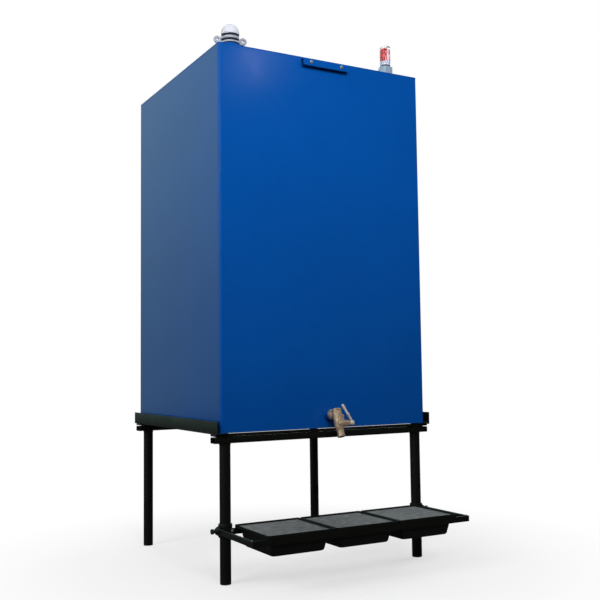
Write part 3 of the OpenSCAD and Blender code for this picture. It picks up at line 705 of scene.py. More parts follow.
def buildCross(side, values):
    # flat bar with a pad over each leg, and a hollow square tube
    flatLow, flatHigh = corners(side + "_flat_bar")
    bar = block([flatLow[0], flatLow[1], flatHigh[2] - values["flatThickness"]], flatHigh, values["edge"])
    legX = nodeCentre("leg_front_right")[0]
    half = values["padWidth"] / 2
    pads = [block([x - half, flatLow[1], flatLow[2]],
                  [x + half, flatHigh[1], flatHigh[2] - values["flatThickness"] + 0.1 * mm], 0.4 * mm)
            for x in (-legX, legX)]
    piece(side + "_flat_strip", [bar, *pads], standPaint, [side + "_flat_bar"])
    low, high = corners(side + "_cross_tube")
    width, height, wall = high[1] - low[1], high[2] - low[2], values["tubeWall"]
    edge = 0.5 * mm
    # outer loop, then the inner loop back again, along x
    grow = np.array([-edge, 0, 0, -edge, -wall, -wall])
    along = np.array([low[0], low[0] + edge, high[0] - edge, high[0], high[0], low[0]])
    corner = values["tubeCorner"]
    radius = np.array([corner - edge, corner, corner, corner - edge, 0.9 * mm, 0.9 * mm])
    rows = roundedRows(width + 2 * grow, height + 2 * grow, radius, along, 6)
    tube = place(loft(rows, ring=True), [0, (low[1] + high[1]) / 2, (low[2] + high[2]) / 2], "+X")
    piece(side + "_tube", [tube], standPaint, [side + "_cross_tube"])


buildCross("front", crossBars)
buildCross("back", crossBars)

legs = {
    "radius": 16.85 * mm,
    "wall": 3.2 * mm,
    "flareHeight": 12 * mm,
    "flareRadius": 19 * mm,
    "footRadius": 16.6 * mm,
}


def buildLeg(nodeName, values):
    # tube with a concave weld flare at its top: radius grows by a quarter circle
    low, high = corners(nodeName)
    centre = midPlan(low, high, 0)
    r, top, flare = values["radius"], high[2], values["flareHeight"]
    angle = np.linspace(0, full / 4, 8)
    reach = values["flareRadius"] - r
    curve = np.column_stack([r + reach * (1 - np.cos(angle)), top - flare + flare * np.sin(angle)])
    outer = np.vstack([[(r - 0.5 * mm, low[2]), (r, low[2] + 0.5 * mm)], curve])
    inner = np.array([(r - values["wall"], top), (r - values["wall"], low[2])])
    tube = place(lathe(np.vstack([outer, inner]), 56, ring=True), centre)
    piece(nodeName + "_tube", [tube], standPaint, [nodeName])
    return centre


legCentres = [buildLeg("leg_" + side, legs)
              for side in ("front_left", "front_right", "back_left", "back_right")]


def buildFeet(centres, values):
    # wide disc whose narrower plug goes up into the leg's tube
    top = corners("leg_feet")[1][2]
    lip = corners("leg_front_left")[0][2]
    inner = values["radius"] - values["wall"] - 0.1 * mm
    cap = turnedPart([(0.5 * mm, 0), (values["footRadius"], 0), (values["footRadius"], lip),
                      (inner, lip), (inner, top), (0.5 * mm, top)],
                     [0, 1.2 * mm, 0.5 * mm, 0.2 * mm, 1.0 * mm, 0], 48)
    piece("leg_foot_caps", [place(cap, centre) for centre in centres], footPlastic,
          ["leg_feet"])


buildFeet(legCentres, legs)


def buildStandWelds():
    # beads where the rails cross the flat bars
    shapes = []
    for side in ("front", "back"):
        low, high = corners(side + "_flat_bar")
        y, z = (low if side == "front" else high)[1], high[2]
        for nodeName in ("left_side_rail", "right_side_rail"):
            railLow, railHigh = corners(nodeName)
            shapes.append(straightBead([railLow[0] + 3 * mm, y, z], [railHigh[0] - 3 * mm, y, z],
                                       1.8 * mm, 6 * mm))
    piece("stand_weld_beads", shapes, standPaint)


buildStandWelds()
print("stand made")

# shelf

shelf = {
    "edge": 1.0 * mm,
    "collarRadius": 21.15 * mm,
    "collarBore": 17.15 * mm,
    "bossRadius": 19 * mm,
    "bossEndRadius": 9 * mm,
    "bossLength": 11 * mm,
    "shankRadius": 4 * mm,
    "knobRadius": 8 * mm,
    "knobLength": 8 * mm,
    "knobRidges": 12,
    "screwInset": 11 * mm,
    "barScrewRadius": 3.2 * mm,
    "armScrewRadius": 2.1 * mm,
}


def buildShelfBars(values):
    for nodeName in ("shelf_left_arm", "shelf_right_arm", "shelf_front_bar", "shelf_back_bar"):
        low, high = corners(nodeName)
        piece(nodeName + "_flat", [block(low, high, values["edge"])], standPaint,
              [nodeName], "shelf")


def buildCollar(side, sign, values):
    # ring round a leg with a boss for its thumbscrew
    low, high = corners(side + "_collar")
    leg = legCentres[0] if sign < 0 else legCentres[1]
    height = high[2] - low[2]
    outer, bore = values["collarRadius"], values["collarBore"]
    ringShape = place(band(bore, outer, 0, height, 0.5 * mm, 1.6 * mm, 64, 5), above(leg, low[2]))
    reach = outer + values["bossLength"]
    hole = values["shankRadius"] + 0.1 * mm
    # cone that widens into the collar in a hollow curve
    root, tip = values["bossRadius"], values["bossEndRadius"]
    cone = turnedRing([(hole, bore + 1 * mm), (root - 1 * mm, bore + 1 * mm),
                       (root - 0.4 * mm, outer - 3 * mm), (tip, reach - 0.5 * mm), (tip - 0.5 * mm, reach),
                       (hole, reach)],
                      [0.2 * mm, 1 * mm, 5 * mm, 1.4 * mm, 0.3 * mm, 0.4 * mm], 56, 6)
    boss = place(cone, above(leg, low[2] + height / 2), "+X" if sign > 0 else "-X")
    piece(side + "_collar_ring", [ringShape, boss], standPaint,
          [side + "_collar"], "shelf")


def buildThumbscrew(side, sign, values):
    low, high = corners(side + "_thumbscrew")
    leg = legCentres[0] if sign < 0 else legCentres[1]
    length = high[0] - low[0]
    start = (low[0] - leg[0]) if sign > 0 else (leg[0] - high[0])
    r = values["shankRadius"]
    # threads: the radius follows a triangle wave along the shank
    at = np.arange(0, length - values["knobLength"], 0.35 * mm)
    wave = np.abs(np.mod(at / (1.25 * mm), 1) * 2 - 1)
    threads = np.column_stack([r - 0.55 * mm * wave, at])
    threads[0, 0] = threads[-1, 0] = r - 0.8 * mm
    shank = lathe(threads, 28)
    base = length - values["knobLength"]
    steps = np.linspace(0, full / 4, 5)
    soft = 1.4 * mm
    rise = np.concatenate([soft * (1 - np.cos(steps)), values["knobLength"] - soft * (1 - np.sin(steps))])
    inset = np.concatenate([soft * (1 - np.sin(steps)), soft * (1 - np.cos(steps))])
    angle = np.linspace(0, full, 96, endpoint=False)
    ridge = 0.5 * mm * (np.cos(angle * values["knobRidges"]) - 1)
    radius = values["knobRadius"] - inset[:, None] + ridge[None]
    height = np.repeat((rise + base)[:, None], 96, 1)
    knob = loft(np.stack([radius * np.cos(angle), radius * np.sin(angle), height], -1))
    neck = rod(5.4 * mm, base - 2.2 * mm, base + 0.6 * mm, 0.5 * mm, 0.2 * mm, 32, flat=1 * mm)
    origin = [leg[0] + sign * start, leg[1], (low[2] + high[2]) / 2]
    shapes = [place(s, origin, "+X" if sign > 0 else "-X") for s in (shank, knob, neck)]
    piece(side + "_thumbscrew_knob", shapes, knobBlack, [side + "_thumbscrew"],
          "screw_" + side)


def buildShelfScrews(values):
    # round heads on washers: one through each end of the rear bar, one on the front end of each arm
    def screw(at, axis, radius):
        washer = rod(radius * 1.35, -0.3 * mm, 0.8 * mm, 0.2 * mm, 0.3 * mm, 32)
        head = rod(radius, 0.5 * mm, radius * 0.95, 0.2 * mm, radius * 0.45, 32, 7)
        return [place(part, at, axis) for part in (washer, head)]

    shapes = []
    barLow, barHigh = corners("shelf_back_bar")
    for side, sign in (("left", -1), ("right", 1)):
        armLow, armHigh = corners("shelf_" + side + "_arm")
        barEnd = barLow[0] if sign < 0 else barHigh[0]
        shapes += screw([barEnd - sign * values["screwInset"], barLow[1], barHigh[2] - 7 * mm], "-Y",
                        values["barScrewRadius"])
        shapes += screw([(armLow[0] + armHigh[0]) / 2, armLow[1] + values["screwInset"], armHigh[2]], "+Z",
                        values["armScrewRadius"])
    piece("shelf_small_screws", shapes, zincBolt, body="shelf")


buildShelfBars(shelf)
for side, sign in (("left", -1), ("right", 1)):
    buildCollar(side, sign, shelf)
    buildThumbscrew(side, sign, shelf)
buildShelfScrews(shelf)

trays = {
    "sheet": 2 * mm,
    "rimHeight": 10 * mm,
    "rimCorner": 6 * mm,
    "lip": 12 * mm,  # flange between the rim and the walls
    "taper": 11 * mm,  # how far the walls lean in towards the floor
    "deeper": 6 * mm,  # the pressing's round floor hangs this much below the plain solid
    "wallCorner": 10 * mm,
    "floorRadius": 7 * mm,
    "lipRadius": 3 * mm,
}


def buildTray(nodeName, body, values):
    # rounded rectangle whose inset and height follow the pressed profile, outside up and inside down
    low, high = corners(nodeName)
    low[2] -= values["deeper"]
    width, depth, height = high - low
    t, rim, lip = values["sheet"], values["rimHeight"], values["lip"]
    wall = height - rim
    slope = values["taper"] / wall
    foot = lip + values["taper"]
    # the profile starts and ends on the floor, 12 mm past the wall's foot
    outer = [(foot + 12 * mm, 0), (foot, 0), (lip, wall), (0, wall), (0, height)]
    inner = [(t, height), (t, wall + t), (lip + t - slope * t, wall + t), (foot + t - slope * t, t),
             (foot + 12 * mm, t)]
    floorRadius, lipRadius = values["floorRadius"], values["lipRadius"]
    profile = roundCorners(outer + inner, [0, floorRadius, lipRadius, 2.4 * mm, 0.9 * mm, 0.9 * mm, 1.2 * mm,
                                           lipRadius + t, floorRadius - t, 0], 6)
    inset, rise = profile.T
    share = np.clip((inset - 2 * mm) / (lip - 2 * mm), 0, 1)
    corner = values["rimCorner"] + (values["wallCorner"] - values["rimCorner"]) * share
    corner = np.where(inset < 2.5 * mm, np.maximum(values["rimCorner"] - inset, 1 * mm), corner)
    rows = roundedRows(width - 2 * inset, depth - 2 * inset, corner, rise, 9)
    shape = place(loft(rows), midPlan(low, high, low[2]))
    piece(nodeName + "_pressing", [shape], trayPaint, [nodeName], body, sharp=50)


grids = {
    "frameWidth": 4 * mm,
    "frameHeight": 3.4 * mm,
    "frameCorner": 3 * mm,
    "frameEdge": 0.5 * mm,
    "diamondLong": 11.5 * mm,  # along x
    "diamondShort": 5.6 * mm,  # along y
    "strandWidth": 1.25 * mm,
    "strandHeight": 1.5 * mm,
    "knotLength": 2.4 * mm,
    "lean": 0.45 * mm,  # how far one edge of a strand stands above the other
    "meshDrop": 0.9 * mm,  # mesh below the frame's top
}


def buildGrid(nodeName, body, values):
    low, high = corners(nodeName)
    width, depth = (high - low)[:2]
    wide, height = values["frameWidth"], values["frameHeight"]
    radius, edge = values["frameCorner"], values["frameEdge"]
    # frame: outer loop up, inner loop down
    grow = np.array([-edge, 0, 0, -edge, -wide + edge, -wide, -wide, -wide + edge])
    rise = np.array([0, edge, height - edge, height, height, height - edge, edge, 0])
    rows = roundedRows(width + 2 * grow, depth + 2 * grow, np.maximum(radius + grow, 0.3 * mm), rise, 5)
    frameShape = loft(rows, ring=True)
    # strands: each row is a trapezoid wave along x; neighbours are mirrored and meet at the knots
    pitchX, pitchY = values["diamondLong"], values["diamondShort"] / 2
    spanX, spanY = width / 2 - wide + 0.8 * mm, depth / 2 - wide + 0.8 * mm
    rowCount = int(2 * spanY / pitchY)
    knots = int(2 * spanX / (pitchX / 2)) + 1
    knot = values["knotLength"] / 2
    centreX = (np.arange(knots) - (knots - 1) / 2) * pitchX / 2
    x = (centreX[:, None] + np.array([-knot, knot])[None]).reshape(-1)
    keep = np.abs(x) < spanX
    sideOf = np.repeat(np.where(np.arange(knots) % 2 == 0, 1.0, -1.0), 2)[keep]
    x = x[keep]
    rowY = (np.arange(rowCount) - (rowCount - 1) / 2) * pitchY
    flip = np.where(np.arange(rowCount) % 2 == 0, 1.0, -1.0)
    y = rowY[:, None] + flip[:, None] * sideOf[None] * (pitchY / 2 - values["strandWidth"] * 0.12)
    half = values["strandWidth"] / 2
    top = height - values["meshDrop"]
    offsetY = np.array([-half, half, half, -half])
    offsetZ = np.array([0, 0, values["strandHeight"], values["strandHeight"]]) - values["strandHeight"]
    leanZ = values["lean"] * np.array([-1, 1, 1, -1])
    points = np.empty((rowCount, len(x), 4, 3))
    points[..., 0] = x[None, :, None]
    points[..., 1] = y[:, :, None] + offsetY[None, None]
    leaning = (flip[:, None] * sideOf[None])[:, :, None]
    points[..., 2] = top + offsetZ[None, None] + leanZ[None, None] * leaning
    index = np.arange(points[..., 0].size).reshape(rowCount, len(x), 4)
    first, second = index[:, :-1], index[:, 1:]
    quads = np.stack([first, second, np.roll(second, -1, 2), np.roll(first, -1, 2)], -1).reshape(-1, 4)
    strandShape = (points.reshape(-1, 3), quads[:, ::-1].tolist())
    shapes = [place(s, midPlan(low, high, low[2])) for s in (frameShape, strandShape)]
    piece(nodeName + "_mesh", shapes, gridPaint, [nodeName], body, sharp=40)


for side in ("left", "middle", "right"):
    buildTray("tray_" + side, "pan_" + side, trays)
    buildGrid("grid_" + side, "mesh_" + side, grids)
print("shelf made")

# sockets welded to the tank

sockets = {
    "tap": {"radius": 18 * mm, "bore": 7.5 * mm},
    "vent": {"radius": 29.5 * mm, "bore": 17.5 * mm},
    "gauge": {"radius": 26 * mm, "bore": 9.5 * mm},
    "tapLength": 18 * mm,
    "weld": 2.6 * mm,
}


def socketShapes(origin, axis, radius, bore, length, weld):
    # thick ring on a thinner foot that goes through the sheet, with a bead round it
    tube = turnedRing([(bore, -3 * mm), (bore + 4 * mm, -3 * mm), (bore + 4 * mm, 0.4 * mm),
                       (radius, 0.4 * mm), (radius, length), (bore, length)],
                      [0.2 * mm, 0.2 * mm, 0.1 * mm, 0.1 * mm, 1.4 * mm, 0.8 * mm], 64)
    angle = np.linspace(0, full, 160, endpoint=False)
    around = radius + 0.6 * mm
    path = np.stack([around * np.cos(angle), around * np.sin(angle), np.full(160, 0.9 * mm)], -1)
    seam = bead(path, weld, 5.5 * mm, closed=True)
    return [place(tube, origin, axis), place(seam, origin, axis)]


def buildSockets(values):
    tapAt, ventAt, gaugeAt = [nodeCentre(n) for n in ("tap_inlet", "vent_dome", "gauge_vial")]
    places = {
        "tap": ([tapAt[0], tankFront, tapAt[2]], "-Y", values["tapLength"]),
        "vent": (above(ventAt, tankTop), "+Z", corners("fitting_gaskets")[0][2] - tankTop),
        "gauge": (above(gaugeAt, tankTop), "+Z", corners("gauge_base")[0][2] - tankTop),
    }
    shapes = []
    for name, (origin, axis, length) in places.items():
        shapes += socketShapes(origin, axis, length=length, weld=values["weld"], **values[name])
    piece("tank_sockets", shapes, tankPaint, ["welded_sockets"])


buildSockets(sockets)

# tap

tap = {
    "reach": 62 * mm,  # from the tank's face to the body's axis
    "lean": 20,  # degrees that the body's top leans back to the tank
    "bodyRadius": 15 * mm,
    "up": 46.8 * mm,  # along the leaning axis, from the lever's height
    "down": 43.6 * mm,
    "stemDrop": 27 * mm,
    "stemOffset": 10 * mm,
    "bore": 7.5 * mm,
    "hexFlats": 30 * mm,
    "hexLength": 14 * mm,
    "barrelRadius": 10 * mm,
    "barrelLeft": 9 * mm,
    "barrelRight": 30 * mm,
    "tabLeft": 10 * mm,
    "tabRight": 16 * mm,
    "tabHeight": 25 * mm,
    "leverHub": 44 * mm,
    "leverLength": 67 * mm,
    "leverLean": 23 / 60,  # inwards for every length upwards
    "eyeHeight": 30 * mm,
}


def leaned(shape, values, about):
    # the CAD's lean: a turn about x that takes the top towards the tank
    return turned(shape, (1, 0, 0), -math.radians(values["lean"]), about)


def buildTapInlet(values, out, axisY):
    # hexagon, neck and the fillet between them, along the tap's pipe
    start = tankFront - sockets["tapLength"]
    reach = start - axisY
    hexagon = hexBar(values["hexFlats"], values["hexLength"], 1.6 * mm)
    neck = rod(11 * mm, 1 * mm, reach - 6 * mm, 0.4 * mm, 0.5 * mm, 48, flat=2 * mm)
    end = values["hexLength"]
    fillet = turnedPart([(2 * mm, end - 0.5 * mm), (13.2 * mm, end - 0.5 * mm), (12.2 * mm, end + 1.2 * mm),
                         (11 * mm, end + 3 * mm), (2 * mm, end + 3 * mm)],
                        [0, 0.4 * mm, 1.5 * mm, 2 * mm, 0], 48)
    shapes = [place(s, [0, start, out], "-Y") for s in (hexagon, neck, fillet)]
    piece("tap_inlet_hex", shapes, tapBrass, ["tap_inlet"])


def buildTapBody(values, out, axisY):
    r, top, bottom, bore = values["bodyRadius"], values["up"], -values["down"], values["bore"]
    middle = [0, axisY, out - values["stemDrop"]]
    stem = [0, axisY - values["stemOffset"], middle[2]]
    # closed round body with its bore open at the spout
    profile = [(bore, bottom), (r - 2.5 * mm, bottom), (r - 2.5 * mm, bottom + 7 * mm),
               (r - 4 * mm, bottom + 8 * mm), (r - 4 * mm, -22 * mm), (r, -11 * mm), (r, top - 6.6 * mm),
               (r - 0.8 * mm, top - 6 * mm), (r + 1 * mm, top - 5.2 * mm), (r + 1 * mm, top - 2 * mm),
               (r - 1 * mm, top), (1 * mm, top)]
    radii = [0.6 * mm, 1.0 * mm, 0.8 * mm, 1.2 * mm, 5 * mm, 6 * mm, 0.4 * mm, 0.3 * mm, 0.8 * mm, 0.8 * mm,
             1.0 * mm, 0]
    inside = np.array([(1 * mm, -12 * mm), (bore, -13 * mm), (bore, bottom + 0.4 * mm)])
    body = lathe(np.vstack([inside, roundCorners(profile, radii, 6)]), 64)
    left, right, wide = -values["barrelLeft"], values["barrelRight"], values["barrelRadius"]
    barrel = turnedPart([(1 * mm, left), (7 * mm, left), (wide, left + 2.4 * mm), (wide, right - 6 * mm),
                         (wide - 0.8 * mm, right - 5.2 * mm), (wide - 0.8 * mm, right), (7 * mm, right),
                         (7 * mm, right - 0.6 * mm), (1 * mm, right - 0.6 * mm)],
                        [0, 1.2 * mm, 1.6 * mm, 0.6 * mm, 0.4 * mm, 0.8 * mm, 0.5 * mm, 0.2 * mm, 0], 48)
    plug = hexBar(11 * mm, 2.6 * mm, 0.7 * mm)
    # lock tab: a flat finger with an eye at its end
    finger = block([values["tabLeft"], -2 * mm, 6 * mm],
                   [values["tabRight"], 2 * mm, values["tabHeight"] - 1 * mm], 0.8 * mm)
    tabWidth = values["tabRight"] - values["tabLeft"]
    eye = band(1.6 * mm, 4.6 * mm, 0, tabWidth, 0.5 * mm, 0.9 * mm, 32)
    eyeAt = [values["tabLeft"], stem[1], stem[2] + values["tabHeight"]]
    shapes = [leaned(place(body, middle), values, middle),
              place(barrel, stem, "+X"),
              place(plug, [left + 0.4 * mm, stem[1], stem[2]], "-X"),
              leaned(place(finger, stem), values, stem),
              leaned(place(eye, eyeAt, "+X"), values, stem)]
    piece("tap_brass_body", shapes, tapBrass, ["tap_body"], sharp=32)


def buildTapLever(values, out, axisY):
    hubX, length = values["leverHub"], values["leverLength"]
    origin = np.array([0, axisY - values["stemOffset"], out - values["stemDrop"]])
    stem = rod(6 * mm, 8 * mm, hubX - 3 * mm, 0.4 * mm, 0.2 * mm, 40, flat=1 * mm)
    hub = rod(8.5 * mm, hubX - 4 * mm, hubX + 3 * mm, 1.2 * mm, 1.6 * mm, 48, flat=1 * mm)
    screw = turnedPart([(0.5 * mm, hubX + 2.6 * mm), (5 * mm, hubX + 2.6 * mm), (5 * mm, hubX + 4.2 * mm),
                        (2.6 * mm, hubX + 5.9 * mm), (0.5 * mm, hubX + 6 * mm)],
                       [0, 0.2 * mm, 0.9 * mm, 1.2 * mm, 0], 36)
    # handle: flat section that narrows into a round rod and swells again to a ball tip
    share = np.linspace(0, 1, 60)
    along = share * length
    marks = [0, 0.38, 0.46, 0.54, 0.9, 1]
    wide = np.interp(share, marks, np.array([10, 10, 9, 7.4, 9.4, 9.6]) * mm)
    thick = np.interp(share, marks, np.array([5, 5, 6, 7.2, 9.2, 9.6]) * mm)
    tip = np.sqrt(np.clip(1 - np.clip((along - (length - 4.8 * mm)) / (4.8 * mm), 0, 1) ** 2, 0.02, 1))
    foot = np.sqrt(np.clip(1 - np.clip((2.5 * mm - along) / (2.5 * mm), 0, 1) ** 2, 0.2, 1))
    wide, thick = wide * tip * foot, thick * tip * foot
    power = np.interp(share, [0, 0.42, 0.56, 1], [0.4, 0.5, 1.0, 1.0])
    angle = np.linspace(0, full, 32, endpoint=False)
    # superellipse: cos and sin raised to a power that goes from flat to round
    cosine = np.sign(np.cos(angle)) * np.abs(np.cos(angle))[None] ** power[:, None]
    sine = np.sign(np.sin(angle)) * np.abs(np.sin(angle))[None] ** power[:, None]
    rows = np.stack([thick[:, None] / 2 * cosine, wide[:, None] / 2 * sine,
                     np.repeat(along[:, None], 32, 1)], -1)
    pivot = origin + np.array([hubX, 0, 0])
    handle = place(loft(rows), pivot)
    eye = place(band(3 * mm, 7 * mm, -2.5 * mm, 2.5 * mm, 0.7 * mm, 1.2 * mm, 40),
                pivot + np.array([0, 0, values["eyeHeight"]]), "+X")
    inward = -math.atan(values["leverLean"])
    shapes = [place(s, origin, "+X") for s in (stem, hub, screw)]
    shapes += [leaned(turned(s, (0, 1, 0), inward, pivot), values, pivot) for s in (handle, eye)]
    piece("tap_lever_handle", shapes, leverSteel, ["tap_lever"], "tap_handle", sharp=40)


tapOut, tapAxisY = nodeCentre("tap_inlet")[2], tankFront - tap["reach"]
buildTapInlet(tap, tapOut, tapAxisY)
buildTapBody(tap, tapOut, tapAxisY)
buildTapLever(tap, tapOut, tapAxisY)
print("tap made")

# roof fittings

vent = {
    "radius": 29.5 * mm,
    "bore": 17.5 * mm,
    "lowRing": 6 * mm,
    "highRing": 8 * mm,
    "lowGasket": 3 * mm,
    "gasket": 7.5 * mm,
    "lip": 6 * mm,  # upright part of the dome below its curve
    "earSpan": 108 * mm,
    "earRadius": 12 * mm,
    "earHole": 4 * mm,
    "earThickness": 8 * mm,
    "earTurn": -12,  # degrees
}


def buildVent(values):
    centre = nodeCentre("vent_dome")
    r, bore = values["radius"], values["bore"]
    ringLow, ringHigh = corners("vent_rings")

    def ringShape(radius, base, height):
        return place(band(bore, radius, 0, height, 0.3 * mm, 1.4 * mm, 72, 5), above(centre, base))

    rings = [ringShape(r + 1 * mm, ringLow[2], values["lowRing"]),
             ringShape(r, ringHigh[2] - values["highRing"], values["highRing"])]
    # the white rings take the darker grey-blue, which paints their shade
    piece("vent_white_rings", rings, ventShadeGrey, ["vent_rings"])
    domeLow, domeHigh = corners("vent_dome")
    rise = domeHigh[2] - domeLow[2] - values["lip"]
    # half an ellipse over a short upright lip
    angle = np.linspace(0, full / 4, 24)[:-1]
    curve = np.column_stack([r * np.cos(angle), values["lip"] + rise * np.sin(angle)])
    profile = np.vstack([[(r - 4 * mm, 0), (r - 0.8 * mm, 0), (r, 0.8 * mm)], curve,
                         [(0.6 * mm, values["lip"] + rise)]])
    dome = place(lathe(profile, 72), above(centre, domeLow[2]))
    piece("vent_white_dome", [dome], ventWhite, ["vent_dome"], sharp=50)
    earRadius, half = values["earRadius"], values["earThickness"] / 2
    earTop = corners("vent_ears")[1][2]
    shapes = []
    for sign in (-1, 1):
        eyeX = sign * (values["earSpan"] / 2 - earRadius)
        eye = band(values["earHole"], earRadius, -half, half, 0.9 * mm, 2.4 * mm, 48, 6)
        webEnds = sorted([eyeX - sign * (values["earHole"] + 0.6 * mm), sign * (r + 1.4 * mm)])
        web = block([webEnds[0], -half + 0.1 * mm, -earRadius + 0.2 * mm],
                    [webEnds[1], half - 0.1 * mm, 8 * mm], 1.6 * mm)
        shapes += [turned(s, (0, 0, 1), math.radians(values["earTurn"]), (0, 0, 0))
                   for s in (place(eye, [eyeX, 0, 0], "-Y"), web)]
    shapes = [place(s, above(centre, earTop - earRadius)) for s in shapes]
    piece("vent_wing_ears", shapes, ventShadeGrey, ["vent_ears"])


def buildGaskets(values):
    ventAt, gaugeAt = nodeCentre("vent_dome"), nodeCentre("gauge_vial")
    ringLow, ringHigh = corners("vent_rings")
    sealLow, sealHigh = corners("gauge_base")[1][2], corners("gauge_vial")[0][2]

    def gasket(centre, base, bore, radius, height):
        soft = min(1.0 * mm, height / 3)
        return place(band(bore, radius, 0, height, 0.3 * mm, soft, 64), above(centre, base))

    r, bore = values["radius"] - 2 * mm, values["bore"]
    shapes = [gasket(ventAt, ringLow[2] - values["lowGasket"], bore, r, values["lowGasket"]),
              gasket(ventAt, ringLow[2] + values["lowRing"], bore, r, values["gasket"]),
              gasket(ventAt, ringHigh[2], bore, r, values["gasket"]),
              gasket(gaugeAt, sealLow, 9.5 * mm, 17.5 * mm, sealHigh - sealLow)]
    piece("fitting_gasket_rings", shapes, gasketRubber, ["fitting_gaskets"])


gauge = {
    "hexFlats": 48 * mm,
    "hexHeight": 28 * mm,
    "bore": 9.5 * mm,
    "vialRadius": 18.5 * mm,
    "vialBore": 13.2 * mm,  # the float and the band lie in the clear plastic, which spreads them sideways
    "floatRadius": 13.5 * mm,
    "knobHeight": 4 * mm,
}
gaugeLooks = {
    "tube": {"colour": (0.93, 0.95, 0.97, 1), "ior": 1.46},
    "band": {"ticks": 12, "tickHeight": 8 * mm, "tickLength": 6 * mm, "colour": (0.66, 0.70, 0.86, 1),
             "tickColour": (0.25, 0.27, 0.42, 1)},
    # angles in degrees about the float's axis
    # the float's pale upright stripe is a painted reflection
    "float": {"colour": (0.50, 0.010, 0.014, 1), "reflectionAngle": -78, "reflectionHalf": 20,
              "reflectionColour": (0.93, 0.66, 0.72, 1)},
}


def buildGauge(values):
    centre = nodeCentre("gauge_vial")
    baseLow, baseHigh = corners("gauge_base")
    r, bore, hexHeight = values["vialRadius"], values["bore"], values["hexHeight"]
    hexagon = hexBar(values["hexFlats"], hexHeight, 2.6 * mm, bore)
    collarHeight = baseHigh[2] - baseLow[2]
    collar = turnedRing([(bore, hexHeight - 1 * mm), (r + 1.6 * mm, hexHeight - 1 * mm),
                         (r, hexHeight + 1.5 * mm), (r, collarHeight), (bore, collarHeight)],
                        [0.3 * mm, 0.2 * mm, 1.2 * mm, 1.0 * mm, 0.3 * mm], 56)
    shapes = [place(s, above(centre, baseLow[2])) for s in (hexagon, collar)]
    piece("gauge_hex_base", shapes, gaugeZinc, ["gauge_base"], sharp=25)
    vialLow, vialHigh = corners("gauge_vial")
    top, knob = vialHigh[2] - vialLow[2], values["knobHeight"]
    inner = values["vialBore"]
    # the tube is one closed wall: up the outside, over the top to a small knob, and down the inside
    outside = roundCorners([(inner, 0), (r, 0), (r, top - knob), (5 * mm, top - knob), (5 * mm, top),
                            (0.5 * mm, top)], [0, 0.5 * mm, 2.4 * mm, 1.0 * mm, 1.4 * mm, 0], 6)
    inside = roundCorners([(0.5 * mm, top - 9 * mm), (inner, top - 9 * mm), (inner, 0.3 * mm)],
                          [0, 2 * mm, 0], 6)
    vialShape = place(lathe(np.vstack([inside, outside]), 64), above(centre, vialLow[2]))
    tube = makeClearTube(gaugeLooks["tube"])
    piece("gauge_clear_tube", [vialShape], tube, ["gauge_vial"], sharp=45)
    scaleLow, scaleHigh = corners("gauge_scale")
    radius, height = scaleHigh[0] - centre[0], scaleHigh[2] - scaleLow[2]
    foot = above(centre, scaleLow[2])
    printed = place(band(bore, radius, 0, height, 0.3 * mm, 0.6 * mm, 64), foot)
    paper = makeScaleBand({"centre": foot, **gaugeLooks["band"]})
    piece("gauge_scale_band", [printed], paper, ["gauge_scale"])
    floatLow, floatHigh = corners("gauge_float")
    height, radius = floatHigh[2] - floatLow[2], values["floatRadius"]
    foot = above(centre, floatLow[2])
    bobbin = place(rod(radius, 0, height, 1.2 * mm, 2.4 * mm, 64, 7, flat=0.5 * mm), foot)
    red = makeFloatRed({"centre": foot, **gaugeLooks["float"]})
    piece("gauge_red_float", [bobbin], red, ["gauge_float"])


buildVent(vent)
buildGaskets(vent)
buildGauge(gauge)
print("roof fittings made")

# studio

studio = {
    "cameraPlace": (-1.4352, -2.7248, 0.6399),
    "lookAlong": (0.4963, 0.8649, 0.0752),
    "roll": 0.816,  # degrees that the view's right side dips
    "lens": 53.0,
    "shiftX": -0.0333,
    "shiftY": 0.0017,
    "ambient": 0.20,
    "roomDim": 0.03,  # how bright the room in front looks in gloss
    "backdropLow": 0.20,  # the same for the backdrop, near the floor
    "backdropHigh": 0.52,  # and higher up
    "backdropTint": (0.86, 1.30, 1.22),
}


def makeCamera(values):
    # the camera that was solved from the photo
    lens = bpy.data.cameras.new("camera")
    lens.lens = values["lens"]
    lens.sensor_width = 36
    lens.shift_x, lens.shift_y = values["shiftX"], values["shiftY"]
    lens.clip_start, lens.clip_end = 0.05, 100
    camera = addObject("camera", lens)
    camera.location = values["cameraPlace"]
    look = Vector(values["lookAlong"]).to_track_quat("-Z", "Y")
    camera.rotation_euler = look.to_euler()
    camera.rotation_euler.rotate_axis("Z", -math.radians(values["roll"]))
    bpy.context.scene.camera = camera


def areaLamp(name, at, target, size, power, spread=180, diffuse=True, glossy=True):
    lamp = bpy.data.lights.new(name, "AREA")
    lamp.shape = "SQUARE"
    lamp.size = size
    lamp.energy = power
    lamp.spread = math.radians(spread)
    made = addObject(name, lamp)
    made.location = at
    made.rotation_euler = (Vector(target) - Vector(at)).to_track_quat("-Z", "Y").to_euler()
    made.visible_diffuse = diffuse
    made.visible_glossy = glossy


